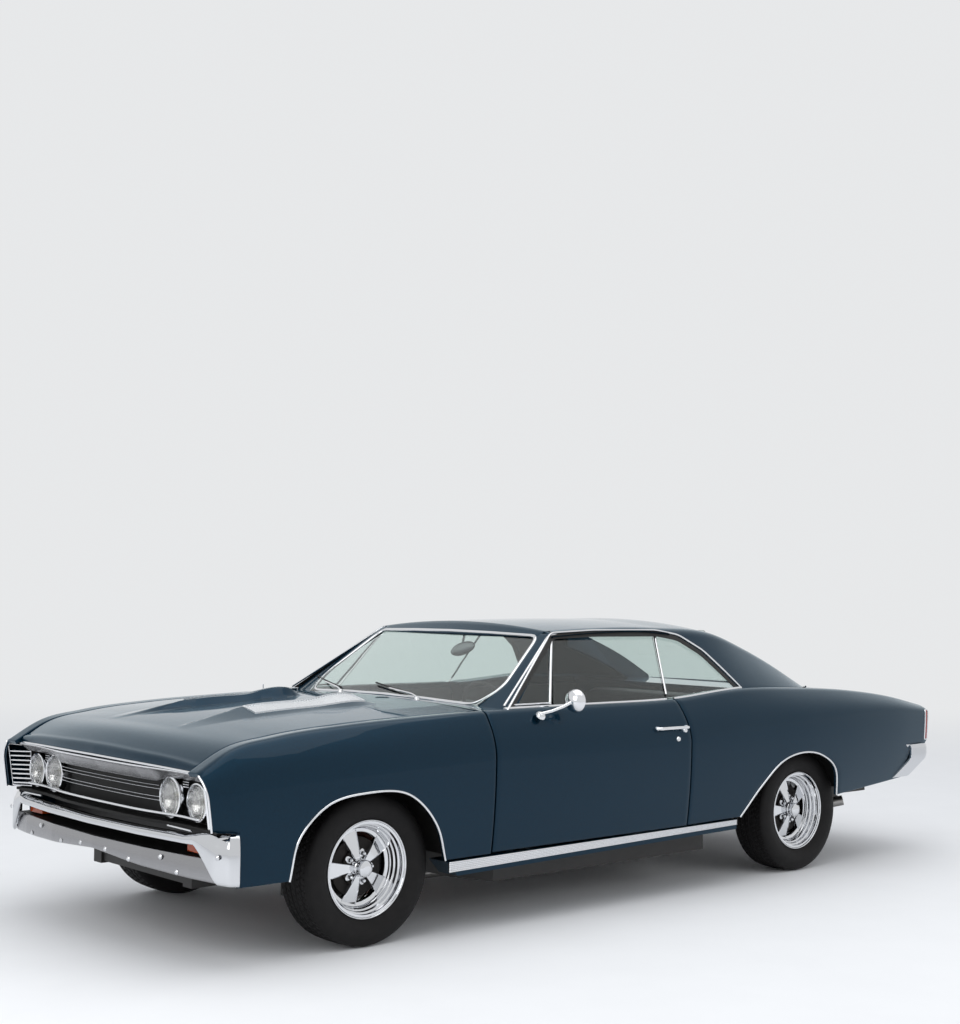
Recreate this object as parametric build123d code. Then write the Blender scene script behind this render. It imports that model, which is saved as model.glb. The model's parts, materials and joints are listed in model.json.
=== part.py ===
from build123d import *
import math
import os

# A two-door hardtop muscle car, in millimetres. +X points to the nose, +Y to the driver's side
# (the car's left), +Z up. The origin is on the ground below the middle of the car.

# Running gear
WHEELBASE = 2921
FRONT_AXLE_X = 1652
REAR_AXLE_X = FRONT_AXLE_X - WHEELBASE
TRACK = 1473
WHEEL_Y = TRACK / 2
TYRE_RADIUS = 322
TYRE_WIDTH = 228
RIM_RADIUS = 190
RIM_LIP_RADIUS = 207
HUB_Z = TYRE_RADIUS
DRUM_RADIUS = 128
DRUM_DEPTH = 62
STEER_ROOM = 172
TYRE_ROOM = 47

# Panel thicknesses, gaps and seats
SKIN = 16
SHEET = 8
DOOR_WALL = 92
ROOF_WALL = 28
PANEL_GAP = 6
DOOR_GAP = 8
LID_GAP = 8
SEAT = 0.3
GLASS = 5
GLASS_EDGE = 8

# Door opening
DOOR_FRONT_X = 1040
DOOR_REAR_X = -250
DOOR_BOTTOM_Z = 343
DOOR_CURVE_BELT_X = -203
DOOR_CURVE_MID = (-230, 860)
DOOR_CURVE_FOOT_Z = 745
JAMB_DEPTH = 33

# Lids
HOOD_REAR_X = 1036
DECK_FRONT_X = -1568
DECK_REAR_X = -2408

# Body side stations: the crown is the top edge of the side, the waist its widest line, the sill its
# foot. Columns: x, crown_y, crown_z, waist_y, waist_z, sill_y, sill_z
SIDE = [
    (2500, 846, 772, 902, 680, 882, 330),
    (2330, 850, 868, 925, 700, 902, 330),
    (2125, 855, 907, 940, 715, 915, 330),
    (1780, 860, 937, 955, 730, 925, 332),
    (1410, 865, 952, 957, 742, 927, 334),
    (1048, 872, 961, 957, 752, 927, 336),
    (400, 878, 962, 958, 757, 927, 338),
    (-250, 880, 966, 958, 766, 927, 342),
    (-780, 868, 1000, 962, 792, 927, 350),
    (-1270, 850, 985, 966, 818, 930, 380),
    (-1730, 843, 955, 955, 832, 912, 415),
    (-2116, 838, 907, 930, 826, 890, 440),
    (-2420, 826, 848, 896, 806, 860, 462),
]
FLANGE_FRONT = 78
FLANGE_REAR = 92
FLANGE_DROP = 4

# Greenhouse stations: the rail is the corner between the side and the top.
# Columns: x, foot_y, rail_y, rail_z, centre_z
GREENHOUSE_FOOT_Z = 840
CABIN = [
    (975, 925, 879, 916, 959),
    (440, 925, 650, 1297, 1338),
]
ROOF = [
    CABIN[-1],
    (150, 925, 652, 1310, 1344),
    (-350, 925, 652, 1308, 1346),
    (-800, 925, 645, 1270, 1331),
    (-1050, 918, 628, 1195, 1262),
    (-1300, 898, 612, 1105, 1150),
    (-1570, 868, 622, 975, 985),
]
RAIL_CORNER = 38
BELT_CLEARANCE = 6

# The side glass stands in one leaning plane. Columns of both points: y, z
GLASS_FOOT = (842, 965)
GLASS_HEAD = (651, 1284)

# Window outlines: the side window's and the line between its panes in the side view, the
# windshield's half outline in the front view, the rear window's plane in the side view
SIDE_WINDOW = [
    (915, 930), (428, 1274), (150, 1288), (-300, 1284), (-455, 1262),
    (-590, 1185), (-690, 1085), (-764, 1003), (-760, 930),
]
PANE_LINE = [(-312, 1330), (-176, 930)]
PANE_GAP = 12
VENT_LINE = [(422, 1290), (614, 930)]
VENT_POST = 14
WINDSHIELD = [(640, 930), (700, 1046), (606, 1283)]
BACKLIGHT = [(-850, 1345), (-1290, 968)]
BACKLIGHT_HALF = 540
REAR_PANE = [(BACKLIGHT_HALF - 40, 985), (BACKLIGHT_HALF - 70, 1290)]

# Hood and decklid stations. Columns: x, centre_z, edge_wall, centre_wall
HOOD_RISE = [
    (2504, 816, 6, 42), (2470, 846, 14, 40), (2400, 880, 20, 24), (2250, 910, 22, 22), (2000, 941, 22, 22),
    (1750, 957, 22, 22), (1500, 969, 22, 22), (1270, 978, 22, 22), (HOOD_REAR_X, 985, 22, 22),
]
DECK_RISE = [
    (DECK_FRONT_X, 972, 22, 22), (-1900, 954, 22, 22), (-2200, 915, 22, 22), (DECK_REAR_X, 868, 22, 22),
]
# The hood's leading edge in plan: an arc through the middle and both corners. Columns: x, y
HOOD_NOSE = [(2504, 0), (2472, 900)]


def column(table, index, x):
    """The value of one column of a station table at any x, straight between stations."""
    rows = sorted(table)
    for low, high in zip(rows, rows[1:]):
        if low[0] <= x <= high[0]:
            share = (x - low[0]) / (high[0] - low[0])
            return low[index] + share * (high[index] - low[index])
    return rows[0][index] if x < rows[0][0] else rows[-1][index]


# Sill, floor and door jamb, worked in from the body side's foot
ROCKER_Y = column(SIDE, 5, 400) - 6
ROCKER_WIDTH = 126
FLOOR_HALF = ROCKER_Y - ROCKER_WIDTH
JAMB_Y = FLOOR_HALF + JAMB_DEPTH


def side_y(x, z):
    """Outer half width of the body side at a height."""
    crown_y, crown_z, waist_y, waist_z, sill_y, sill_z = (column(SIDE, i, x) for i in range(1, 7))
    if z >= waist_z:
        return waist_y - (waist_y - crown_y) * ((z - waist_z) / (crown_z - waist_z)) ** 2
    return waist_y - (waist_y - sill_y) * ((waist_z - z) / (waist_z - sill_z)) ** 2


def mirrored(shape):
    """The same piece on the other side of the car."""
    return mirror(shape, about=Plane.XZ)


def both_sides(shape):
    """A piece and its mirror image, as two solids of one node."""
    return Compound(children=[shape, mirrored(shape)])


def largest(shape):
    """The largest solid of a cut piece."""
    return max(shape.solids(), key=lambda solid: solid.volume)


def ribbon(points, width):
    """The outline of a strip of one width along a broken line, its corners mitred."""
    left, right = [], []
    for i, (x, y) in enumerate(points):
        before = points[max(i - 1, 0)]
        after = points[min(i + 1, len(points) - 1)]
        ux, uy = x - before[0], y - before[1]
        vx, vy = after[0] - x, after[1] - y
        a = math.hypot(ux, uy) or 1
        b = math.hypot(vx, vy) or 1
        nx, ny = -(uy / a + vy / b), ux / a + vx / b
        n = math.hypot(nx, ny)
        nx, ny = nx / n, ny / n
        along = (vx / b, vy / b) if i == 0 else (ux / a, uy / a)
        reach = width / 2 / (nx * -along[1] + ny * along[0])
        left.append((x + nx * reach, y + ny * reach))
        right.append((x - nx * reach, y - ny * reach))
    return left + right[::-1]


def prism_y(points, low, high):
    """A closed outline in the side view, carried across the car from low to high."""
    wire = Wire.make_polygon([Vector(x, low, z) for x, z in points], close=True)
    return Solid.extrude(Face(wire), Vector(0, high - low, 0))


def prism_x(points, low, high):
    """A closed outline in the front view, carried along the car from low to high."""
    wire = Wire.make_polygon([Vector(low, y, z) for y, z in points], close=True)
    return Solid.extrude(Face(wire), Vector(high - low, 0, 0))


def prism_z(points, low, high):
    """A closed outline in plan, carried up from low to high."""
    wire = Wire.make_polygon([Vector(x, y, low) for x, y in points], close=True)
    return Solid.extrude(Face(wire), Vector(0, 0, high - low))


def box(x0, x1, y0, y1, z0, z1):
    """A box between two corners."""
    return Pos((x0 + x1) / 2, (y0 + y1) / 2, (z0 + z1) / 2) * Box(abs(x1 - x0), abs(y1 - y0), abs(z1 - z0))


def bar(start, end, radius):
    """A round bar between two points."""
    a, b = Vector(*start), Vector(*end)
    plane = Plane(origin=(a + b) / 2, z_dir=b - a)
    return plane.location * Cylinder(radius, (b - a).length)


def arc(a, b, c, y):
    """An arc through three points of the side view, at one y."""
    return Edge.make_three_point_arc(*(Vector(x, y, z) for x, z in (a, b, c)))


def line(a, b, y):
    """A line of the side view, at one y."""
    return Edge.make_line(Vector(a[0], y, a[1]), Vector(b[0], y, b[1]))


def carried_across(edges, low, high):
    """A closed outline of arcs and lines in the side view, carried across the car."""
    return Solid.extrude(Face(Wire(edges)), Vector(0, high - low, 0))


def revolved(points, origin, towards=1):
    """A ring or disc about the car's width. Points: radius, distance outwards."""
    wire = Wire.make_polygon([Vector(r, towards * d, 0) for r, d in points], close=True)
    ring = revolve(Face(wire), Axis.Y, 360)
    return Pos(*origin) * ring


def about_axle(axle_x, points):
    """Three arcs of the side view through seven points, given as distance ahead of the axle and height."""
    placed = [(axle_x + ahead, z) for ahead, z in points]
    return [tuple(placed[i:i + 3]) for i in (0, 2, 4)]


# Wheel openings, from the front foot over the top to the rear foot
FRONT_ARCH = about_axle(FRONT_AXLE_X, [
    (460, 300), (426, 500), (303, 622), (98, 662), (-117, 638), (-280, 490), (-344, 300),
])
REAR_ARCH = about_axle(REAR_AXLE_X, [
    (609, 320), (454, 500), (279, 622), (119, 652), (-41, 628), (-176, 545), (-219, 390),
])
BELOW_CAR = -50

# Wheelhouses: room for the steered front tyre, and for the rear tyre
FRONT_WELL = about_axle(FRONT_AXLE_X, [
    (518, 300), (478, 540), (333, 678), (98, 722), (-152, 696), (-340, 540), (-404, 300),
])
REAR_WELL = about_axle(REAR_AXLE_X, [
    (639, 300), (479, 560), (269, 672), (109, 708), (-61, 700), (-321, 575), (-396, 330),
])
WELL_INNER_Y = (WHEEL_Y - TYRE_WIDTH / 2 - STEER_ROOM, WHEEL_Y - TYRE_WIDTH / 2 - TYRE_ROOM)
WELL_WALL_Z = (500, 420)
WELL_LOW_Z = 346
WELL_OVER_SILL = 4


def arch_opening(arch, low, high):
    """The solid under a wheel's arch, from one side of it to the other."""
    start, end = arch[0][0], arch[-1][-1]
    edges = [arc(*points, low) for points in arch]
    edges.append(line(end, (end[0], BELOW_CAR), low))
    edges.append(line((end[0], BELOW_CAR), (start[0], BELOW_CAR), low))
    edges.append(line((start[0], BELOW_CAR), start, low))
    return carried_across(edges, low, high)


def side_curve(x, shift, foot_z=None):
    """Foot, belly, waist, shoulder and crown of the body side at a station, moved in by shift."""
    crown_y, crown_z, waist_y, waist_z, sill_y, sill_z = (column(SIDE, i, x) for i in range(1, 7))
    foot = (side_y(x, foot_z), foot_z) if foot_z else (sill_y, sill_z)
    belly = (waist_y - (waist_y - foot[0]) / 4, (waist_z + foot[1]) / 2)
    shoulder = (waist_y - (waist_y - crown_y) / 4, (waist_z + crown_z) / 2)
    points = [foot, belly, (waist_y, waist_z), shoulder, (crown_y, crown_z)]
    return [Vector(x, y - shift, z) for y, z in points]


def skin_section(x, wall, flange):
    """A thin panel's cross-section: outer skin, a flange inwards at the top, inner skin."""
    foot, belly, waist, shoulder, crown = side_curve(x, 0)
    ifoot, ibelly, iwaist, ishoulder, icrown = side_curve(x, wall)
    icrown = icrown - Vector(0, 0, SKIN)
    flange_top = crown - Vector(0, flange, FLANGE_DROP)
    flange_low = flange_top - Vector(0, 0, SKIN)
    return Wire([
        Edge.make_three_point_arc(foot, belly, waist),
        Edge.make_three_point_arc(waist, shoulder, crown),
        Edge.make_line(crown, flange_top),
        Edge.make_line(flange_top, flange_low),
        Edge.make_line(flange_low, icrown),
        Edge.make_three_point_arc(icrown, ishoulder, iwaist),
        Edge.make_three_point_arc(iwaist, ibelly, ifoot),
        Edge.make_line(ifoot, foot),
    ])


def door_section(x):
    """The door's cross-section: the body side outside, a flat top and a plain inner face."""
    foot, belly, waist, shoulder, crown = side_curve(x, 0, DOOR_BOTTOM_Z)
    top = crown - Vector(0, 62, 3)
    knee = Vector(x, waist.Y - DOOR_WALL, waist.Z)
    heel = Vector(x, foot.Y - DOOR_WALL, foot.Z)
    return Wire([
        Edge.make_three_point_arc(foot, belly, waist),
        Edge.make_three_point_arc(waist, shoulder, crown),
        Edge.make_line(crown, top),
        Edge.make_line(top, knee),
        Edge.make_line(knee, heel),
        Edge.make_line(heel, foot),
    ])


def glass_pane(outline, wall=GLASS, shift=0.0):
    """A flat pane in the side glass's leaning plane. Outline points: x, z."""
    lean_y, lean_z = GLASS_HEAD[0] - GLASS_FOOT[0], GLASS_HEAD[1] - GLASS_FOOT[1]
    length = math.hypot(lean_y, lean_z)
    normal = Vector(0, lean_z / length, -lean_y / length)
    corners = [Vector(x, GLASS_FOOT[0] + (z - GLASS_FOOT[1]) * lean_y / lean_z, z) + normal * shift
               for x, z in outline]
    return Solid.extrude(Face(Wire.make_polygon(corners, close=True)), normal * -wall)


FENDER_NOSE = [(2600, 900), (2498, 800), (2464, 560), (2350, 555), (2335, 300), (2600, 250)]


def fender_left():
    """Left front fender: a thin pressing with its wheel opening and slanted leading edge."""
    stations = [row[0] for row in SIDE if row[0] > DOOR_FRONT_X]
    body = Solid.make_loft([skin_section(x, SKIN, FLANGE_FRONT) for x in stations])
    nose = prism_y(FENDER_NOSE, 600, 1100)
    return body - nose - arch_opening(FRONT_ARCH, 700, 1100)


def behind_door(shift, low, high):
    """Everything behind the door's rear edge, moved back by shift."""
    top = (DOOR_CURVE_BELT_X - shift, 1010)
    mid = (DOOR_CURVE_MID[0] - shift, DOOR_CURVE_MID[1])
    foot = (DOOR_REAR_X - shift, DOOR_CURVE_FOOT_Z)
    corners = [foot, (foot[0], 200), (-3000, 200), (-3000, 1010), top]
    edges = [arc(top, mid, foot, low)]
    edges += [line(a, b, low) for a, b in zip(corners, corners[1:])]
    return carried_across(edges, low, high)


def door_left():
    """Left door: a slab as thick as the whole door, with the slot its glass stands in."""
    body = Solid.make_loft([door_section(x) for x in (DOOR_FRONT_X, 400, DOOR_REAR_X)])
    pillar_room = box(850, DOOR_FRONT_X + 20, 600, JAMB_Y + 22, 200, 1100)
    slot = glass_pane([(915, 900), (915, 1000), (-300, 1000), (-300, 900)], GLASS + 2 * SEAT, SEAT)
    return body - behind_door(0, 600, 1100) - pillar_room - slot


def quarter_left():
    """Left quarter panel: hip, rear wheel opening and tail corner in one pressing."""
    stations = [-180] + [row[0] for row in SIDE if row[0] < DOOR_REAR_X]
    body = Solid.make_loft([skin_section(x, SKIN, FLANGE_REAR) for x in stations])
    tail = prism_y([(-2600, 1000), (-2416, 1000), (-2416, 640), (-2215, 430), (-2215, 300), (-2600, 300)],
                   600, 1100)
    ahead = box(-400, 0, 600, 1100, 200, 1009)
    front = ahead - behind_door(DOOR_GAP, 590, 1110)
    jamb = (ahead - behind_door(DOOR_GAP * 2, 590, 1110)) & box(-400, 0, 600, 925, 200, 1009)
    return body - tail - arch_opening(REAR_ARCH, 700, 1100) - front - jamb


def greenhouse_section(row, inset):
    """One cross-section of the greenhouse: leaning sides, rounded rails, crowned top."""
    x, foot_y, rail_y, rail_z, centre_z = row
    foot = (foot_y - inset, GREENHOUSE_FOOT_Z)
    rail = (rail_y - inset * 0.9, rail_z - inset * 0.75)
    centre = (0, centre_z - inset)
    length = math.hypot(foot[0] - rail[0], foot[1] - rail[1])
    share = RAIL_CORNER / length
    below = (rail[0] + (foot[0] - rail[0]) * share, rail[1] + (foot[1] - rail[1]) * share)
    reach = 1 - RAIL_CORNER / rail[0]
    above = (rail[0] * reach, rail[1] + (centre[1] - rail[1]) * (1 - reach ** 2))
    blend = ((below[0] + above[0] + 2 * rail[0]) / 4, (below[1] + above[1] + 2 * rail[1]) / 4)

    def at(point, side=1):
        return Vector(x, side * point[0], point[1])

    return Wire([
        Edge.make_line(at(foot), at(below)),
        Edge.make_three_point_arc(at(below), at(blend), at(above)),
        Edge.make_three_point_arc(at(above), at(centre), at(above, -1)),
        Edge.make_three_point_arc(at(above, -1), at(blend, -1), at(below, -1)),
        Edge.make_line(at(below, -1), at(foot, -1)),
        Edge.make_line(at(foot, -1), at(foot)),
    ])


def front_greenhouse(inset):
    """The greenhouse ahead of the roof's leading edge, moved in by inset."""
    return Solid.make_loft([greenhouse_section(row, inset) for row in CABIN], ruled=True)


def greenhouse(inset):
    """The whole greenhouse as one solid, moved in by inset."""
    rear = Solid.make_loft([greenhouse_section(row, inset) for row in ROOF])
    return front_greenhouse(inset) + rear


def behind_backlight(shift):
    """Everything behind the rear window's plane, moved back by shift."""
    (x0, z0), (x1, z1) = BACKLIGHT
    slope = (x1 - x0) / (z1 - z0)
    top = (x0 + slope * (1500 - z0) - shift, 1500)
    foot = (x0 + slope * (800 - z0) - shift, 800)
    return prism_y([top, foot, (-2500, 800), (-2500, 1500)], -1000, 1000)


def windshield_opening(inset):
    """The windshield opening, carried forwards."""
    half = [(y - inset, z - (inset if z > 1200 else 0)) for y, z in WINDSHIELD]
    return prism_x(half + [(-y, z) for y, z in half[::-1]], 380, 1300)


def make_roof():
    """Roof, windshield pillars and sail panels: one hollow pressing, open at its windows."""
    inner = greenhouse(ROOF_WALL) - behind_backlight(-20)
    shell = greenhouse(0) - inner
    belt = [(row[0], row[2]) for row in SIDE if -1731 < row[0] < 1100]
    sunk = [(x, z if x > -500 else z - 13) for x, z in belt]
    below = prism_y([(1200, 940), (900, 940), *sunk, (-2000, 940), (-2000, 300), (1200, 300)], -1100, 1100)
    over_door = [(x, z + BELT_CLEARANCE) for x, z in belt if x > -500]
    beside = prism_y([(1200, 966), *over_door, (-250, 300), (1200, 300)], JAMB_Y - SEAT, 1100)
    recess = behind_backlight(0) & box(-2500, -500, -BACKLIGHT_HALF, BACKLIGHT_HALF, 800, 1500)
    shell = shell - below - beside - mirrored(beside) - recess - rear_opening(0, -1800, -500)
    shell = shell - windshield_opening(0) - prism_y(SIDE_WINDOW, -1000, 1000)
    return shell - box(DECK_FRONT_X + LID_GAP, -2000, -900, 900, 800, 1100)


def lid(rise, flange):
    """A crowned lid between the fenders or quarters, from its table of stations."""
    sections = []
    for x, centre_z, edge_wall, centre_wall in rise:
        half = column(SIDE, 1, x) - flange - PANEL_GAP
        edge_z = column(SIDE, 2, x) - FLANGE_DROP
        points = [(half, edge_z), (half / 2, edge_z + (centre_z - edge_z) * 0.75), (0, centre_z)]
        left = [Vector(x, y, z) for y, z in points]
        right = [Vector(x, -y, z) for y, z in points]
        walls = (edge_wall, (edge_wall + centre_wall) / 2, centre_wall)
        inner_left = [p - Vector(0, 0, wall) for p, wall in zip(left, walls)]
        inner_right = [p - Vector(0, 0, wall) for p, wall in zip(right, walls)]
        sections.append(Wire([
            Edge.make_three_point_arc(*left),
            Edge.make_three_point_arc(*right[::-1]),
            Edge.make_line(right[0], inner_right[0]),
            Edge.make_three_point_arc(*inner_right),
            Edge.make_three_point_arc(*inner_left[::-1]),
            Edge.make_line(inner_left[0], left[0]),
        ]))
    return Solid.make_loft(sections)


# Hood blisters: raised rear vents with ribbed inserts. Columns: x, half width, rise over the hood
BLISTER_Y = 300
BLISTER = [(2150, 40, -4), (1960, 62, 16), (1900, 70, 20), (1310, 76, 20), (1270, 76, 2)]
INSERT_X = (1320, 1910)
INSERT_RIB = 18
INSERT_PITCH = 36


def hood_plan():
    """Everything behind the hood's bowed leading edge."""
    (x0, _), (x1, y1) = HOOD_NOSE
    nose = Edge.make_three_point_arc(Vector(x1, y1, 700), Vector(x0, 0, 700), Vector(x1, -y1, 700))
    back = Wire.make_polygon([(x1, -y1, 700), (800, -y1, 700), (800, y1, 700), (x1, y1, 700)], close=False)
    return Solid.extrude(Face(Wire([nose, *back.edges()])), Vector(0, 0, 400))


def hood_z(x, y):
    """Height of the hood's outer face."""
    edge_z = column(SIDE, 2, x) - FLANGE_DROP
    half = column(SIDE, 1, x) - FLANGE_FRONT - PANEL_GAP
    return edge_z + (column(HOOD_RISE, 1, x) - edge_z) * (1 - (y / half) ** 2)


def blister_z(x):
    """Height of a blister's flat top."""
    tops = [(station, hood_z(station, BLISTER_Y) + rise) for station, _, rise in BLISTER]
    return column(tops, 1, x)


def blister():
    """One hood blister, its foot sunk in the hood."""
    sections = []
    for x, half, rise in BLISTER:
        z = hood_z(x, BLISTER_Y)
        points = [(-half - 14, z - 12), (-half, z + rise), (half, z + rise), (half + 14, z - 12)]
        sections.append(Wire.make_polygon([Vector(x, BLISTER_Y + y, pz) for y, pz in points], close=True))
    return Solid.make_loft(sections, ruled=True)


# Chassis. The rails lie inside the wheelhouses and kick up over the rear axle.
# Columns: x, y, z of a rail's centreline
RAIL_WIDTH = 70
RAIL_DEPTH = 96
FRONT_RAIL_Y = 390
FRONT_RAIL_Z = 300
RAIL_KICK_Z = 452
REAR_RAIL_Y = WELL_INNER_Y[1] - RAIL_WIDTH / 2 - 50
RAIL = [
    (2260, FRONT_RAIL_Y, FRONT_RAIL_Z), (1250, FRONT_RAIL_Y, FRONT_RAIL_Z), (1000, 560, 235), (860, 715, 220),
    (REAR_AXLE_X + 709, 715, 220), (REAR_AXLE_X + 569, REAR_RAIL_Y + 40, 235),
    (REAR_AXLE_X + 389, REAR_RAIL_Y, 400), (REAR_AXLE_X + 229, REAR_RAIL_Y, RAIL_KICK_Z),
    (REAR_AXLE_X - 171, REAR_RAIL_Y, RAIL_KICK_Z),
    (REAR_AXLE_X - 371, REAR_RAIL_Y + 10, 370), (-2300, REAR_RAIL_Y + 10, 370),
]
# Columns: x, length, lowest z, highest z, half width
CROSSMEMBERS = [
    (2215, 70, 262, 342, 365),
    (FRONT_AXLE_X, 150, 205, 290, 365),
    (300, 110, 194, 252, 690),
    (-2240, 70, 330, 410, REAR_RAIL_Y - 5),
]


def make_frame():
    """Perimeter frame: two kicked-up box rails and their crossmembers."""
    plan = prism_z(ribbon([(x, y) for x, y, z in RAIL], RAIL_WIDTH), 0, 800)
    side = prism_y(ribbon([(x, z) for x, y, z in RAIL], RAIL_DEPTH), 200, 900)
    rail = plan & side
    frame = rail + mirrored(rail)
    for x, length, low, high, half in CROSSMEMBERS:
        frame += box(x - length / 2, x + length / 2, -half, half, low, high)
    return frame


# Floor: the sheet's path in the side view, from the firewall's top to the trunk's rear end
FIREWALL_X = 1000
FLOOR_Z = 290
TRUNK_Z = 440
FLOOR_PATH = [
    (FIREWALL_X, 904), (FIREWALL_X, 500), (860, FLOOR_Z), (-520, FLOOR_Z), (-580, 510), (-1560, 540),
    (-1640, TRUNK_Z), (-2385, TRUNK_Z),
]
TUNNEL_HALF = 140
TUNNEL_TOP = 440
TRUNK_HALF = 740


def make_floor():
    """Firewall, floor with its tunnel, rear seat pan and trunk floor, in one sheet."""
    floor = prism_y(ribbon(FLOOR_PATH, SHEET), -FLOOR_HALF, FLOOR_HALF)
    foot, top = TUNNEL_HALF, TUNNEL_HALF - 30
    arch = [(-foot, 200), (-top, TUNNEL_TOP), (top, TUNNEL_TOP), (foot, 200)]
    floor -= prism_x(arch, -640, FIREWALL_X + 10)
    tunnel = prism_x(ribbon(arch, SHEET), -530, FIREWALL_X + SHEET / 2)
    floor += tunnel & box(-600, 1100, -300, 300, FLOOR_Z - SHEET / 2, 600)
    well = arch_opening([tuple((x, z + SHEET) for x, z in points) for points in REAR_WELL], 0, 1000)
    well = Pos(0, WELL_INNER_Y[1] - SEAT, 0) * well
    floor -= well + mirrored(well)
    for side in (1, -1):
        floor -= box(-1560, -2500, side * TRUNK_HALF, side * 900, 300, 900)
    return floor


def make_wheelhouse(arch, inner_y, low_z, skin):
    """One wheelhouse: a thin arched shell closed on its inner side, fitted to the outer skin."""
    inner = arch_opening(arch, inner_y + SHEET, 1000)
    (x0, _), (x1, _) = arch[0][0], arch[-1][-1]
    outer = arch_opening([tuple((x, z + SHEET) for x, z in points) for points in arch], inner_y, 948)
    shell = (outer - inner) & box(x1 - 50, x0 + 50, inner_y, 948, WELL_LOW_Z, 900)
    shell -= box(x1 - 50, x0 + 50, inner_y - 1, inner_y + SHEET, 200, low_z)
    sill = [(row[0], row[6] + WELL_OVER_SILL) for row in SIDE]
    below_sill = prism_y([*sill, (sill[-1][0], BELOW_CAR), (sill[0][0], BELOW_CAR)], 0, 1000)
    return largest(shell - below_sill - skin)


ROCKER_TOP_Z = 328
ROCKER_FRONT_X = FRONT_AXLE_X - 356
ROCKER_REAR_X = REAR_AXLE_X + 629


def make_rocker():
    """Left rocker panel: the box below the door between the wheel openings."""
    outline = [
        (ROCKER_FRONT_X - 60, 262), (ROCKER_FRONT_X, ROCKER_TOP_Z), (ROCKER_REAR_X, ROCKER_TOP_Z + 13),
        (ROCKER_REAR_X, 290),
    ]
    return prism_y(outline, FLOOR_HALF + SEAT, ROCKER_Y)


def make_rocker_moulding():
    """Left rocker moulding: a ribbed bright strip on the rocker panel."""
    front, rear = ROCKER_FRONT_X - 4, ROCKER_REAR_X + 4
    outline = [(front - 42, 281), (front, ROCKER_TOP_Z - 1), (rear, ROCKER_TOP_Z + 12), (rear, 313)]
    return prism_y(outline, ROCKER_Y + SEAT, ROCKER_Y + 12)


# Wheels and tyres, worked out about their own centre with the outer face towards +Y
HALF_TYRE = [
    (RIM_RADIUS + SEAT, 84), (RIM_LIP_RADIUS + 1, 84), (225, 102), (262, TYRE_WIDTH / 2), (296, 108),
    (316, 94), (TYRE_RADIUS, 78),
]
TYRE_PROFILE = HALF_TYRE + [(radius, -out) for radius, out in HALF_TYRE[::-1]]
# The rim steps down in ribs from its outer lip to the ring that carries the spokes
RIM_PROFILE = [
    (RIM_LIP_RADIUS, 92), (RIM_LIP_RADIUS, 85), (RIM_RADIUS, 84.5),
    (RIM_RADIUS, -84.5), (RIM_LIP_RADIUS, -85), (RIM_LIP_RADIUS, -92), (198, -92), (182, -80), (174, -30),
    (158, -6), (158, 14), (172, 20), (172, 34), (178, 36), (178, 50), (184, 52), (184, 66), (190, 68),
    (192, 80), (200, 92),
]
SPOKES = 5
# Spoke sections, narrow at the hub and broad at the rim. Columns: radius, half width, back, face
SPOKE = [(24, 11, 12, 42), (170, 43, 11, 27)]
HUB_RADIUS = 74
HUB_FACE = (10, 22)
CAP_RADIUS = 31
CAP_FACE = 70
CAP_DOME = 12


def make_spoke():
    """One cast spoke, pointing forwards: a loft from the hub out to the rim's ring."""
    sections = []
    for radius, half, back, face in SPOKE:
        corners = [(-half, back), (half, back), (half, face), (-half, face)]
        sections.append(Wire.make_polygon([Vector(radius, out, z) for z, out in corners], close=True))
    return Solid.make_loft(sections, ruled=True)


def make_wheel(x):
    """A left five-spoke road wheel with its domed cap, and the brake drum bolted behind it."""
    low, high = HUB_FACE
    wheel = bar((0, low, 0), (0, high, 0), HUB_RADIUS)
    crest = CAP_FACE + CAP_DOME
    cap = [(0, low), (CAP_RADIUS, low), (CAP_RADIUS, CAP_FACE), (CAP_RADIUS * 0.8, crest - CAP_DOME * 0.4)]
    wheel += revolved(cap + [(CAP_RADIUS * 0.4, crest), (0, crest)], (0, 0, 0))
    spoke = make_spoke()
    for n in range(SPOKES):
        wheel += Rot(0, 360 / SPOKES * n + 90, 0) * spoke
    wheel += revolved(RIM_PROFILE, (0, 0, 0))
    drum = bar((0, low - SEAT, 0), (0, low - SEAT - DRUM_DEPTH, 0), DRUM_RADIUS)
    place = Pos(x, WHEEL_Y, HUB_Z)
    return Compound(children=[place * wheel, place * drum])


def make_tyre(x, side):
    """One tyre on its rim."""
    return revolved(TYRE_PROFILE, (x, side * WHEEL_Y, HUB_Z), side)


BACKING_Y = WHEEL_Y + HUB_FACE[0] - DRUM_DEPTH - 2 * SEAT
BACKING_WALL = 6
BALL_JOINT_Z = (190, 462)
BALL_JOINT_Y = BACKING_Y - 16


def make_knuckle():
    """Left steering knuckle: upright between its two ball joints, with the drum's backing plate."""
    x = FRONT_AXLE_X
    plate = bar((x, BACKING_Y - BACKING_WALL, HUB_Z), (x, BACKING_Y, HUB_Z), DRUM_RADIUS - 4)
    upright = box(x - 28, x + 28, BALL_JOINT_Y - 28, BACKING_Y - 2, *BALL_JOINT_Z)
    steering_arm = box(x + 20, x + 120, BALL_JOINT_Y - 18, BALL_JOINT_Y + 2, 236, 256)
    return plate + upright + steering_arm


def make_arms():
    """Left control arms: an A-shaped pressing above and one below, out to the ball joints."""
    tower_y = FRONT_RAIL_Y + RAIL_WIDTH / 2 + SEAT
    half = [(22, BALL_JOINT_Y), (120, tower_y), (70, tower_y)]
    outline = [(FRONT_AXLE_X + x, y) for x, y in half] + [(FRONT_AXLE_X, BALL_JOINT_Y - 98)]
    outline += [(FRONT_AXLE_X - x, y) for x, y in half[::-1]]
    lower, upper = BALL_JOINT_Z[0] - SEAT, BALL_JOINT_Z[1] + SEAT
    return prism_z(outline, lower - 24, lower), prism_z(outline, upper, upper + 20)


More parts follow.
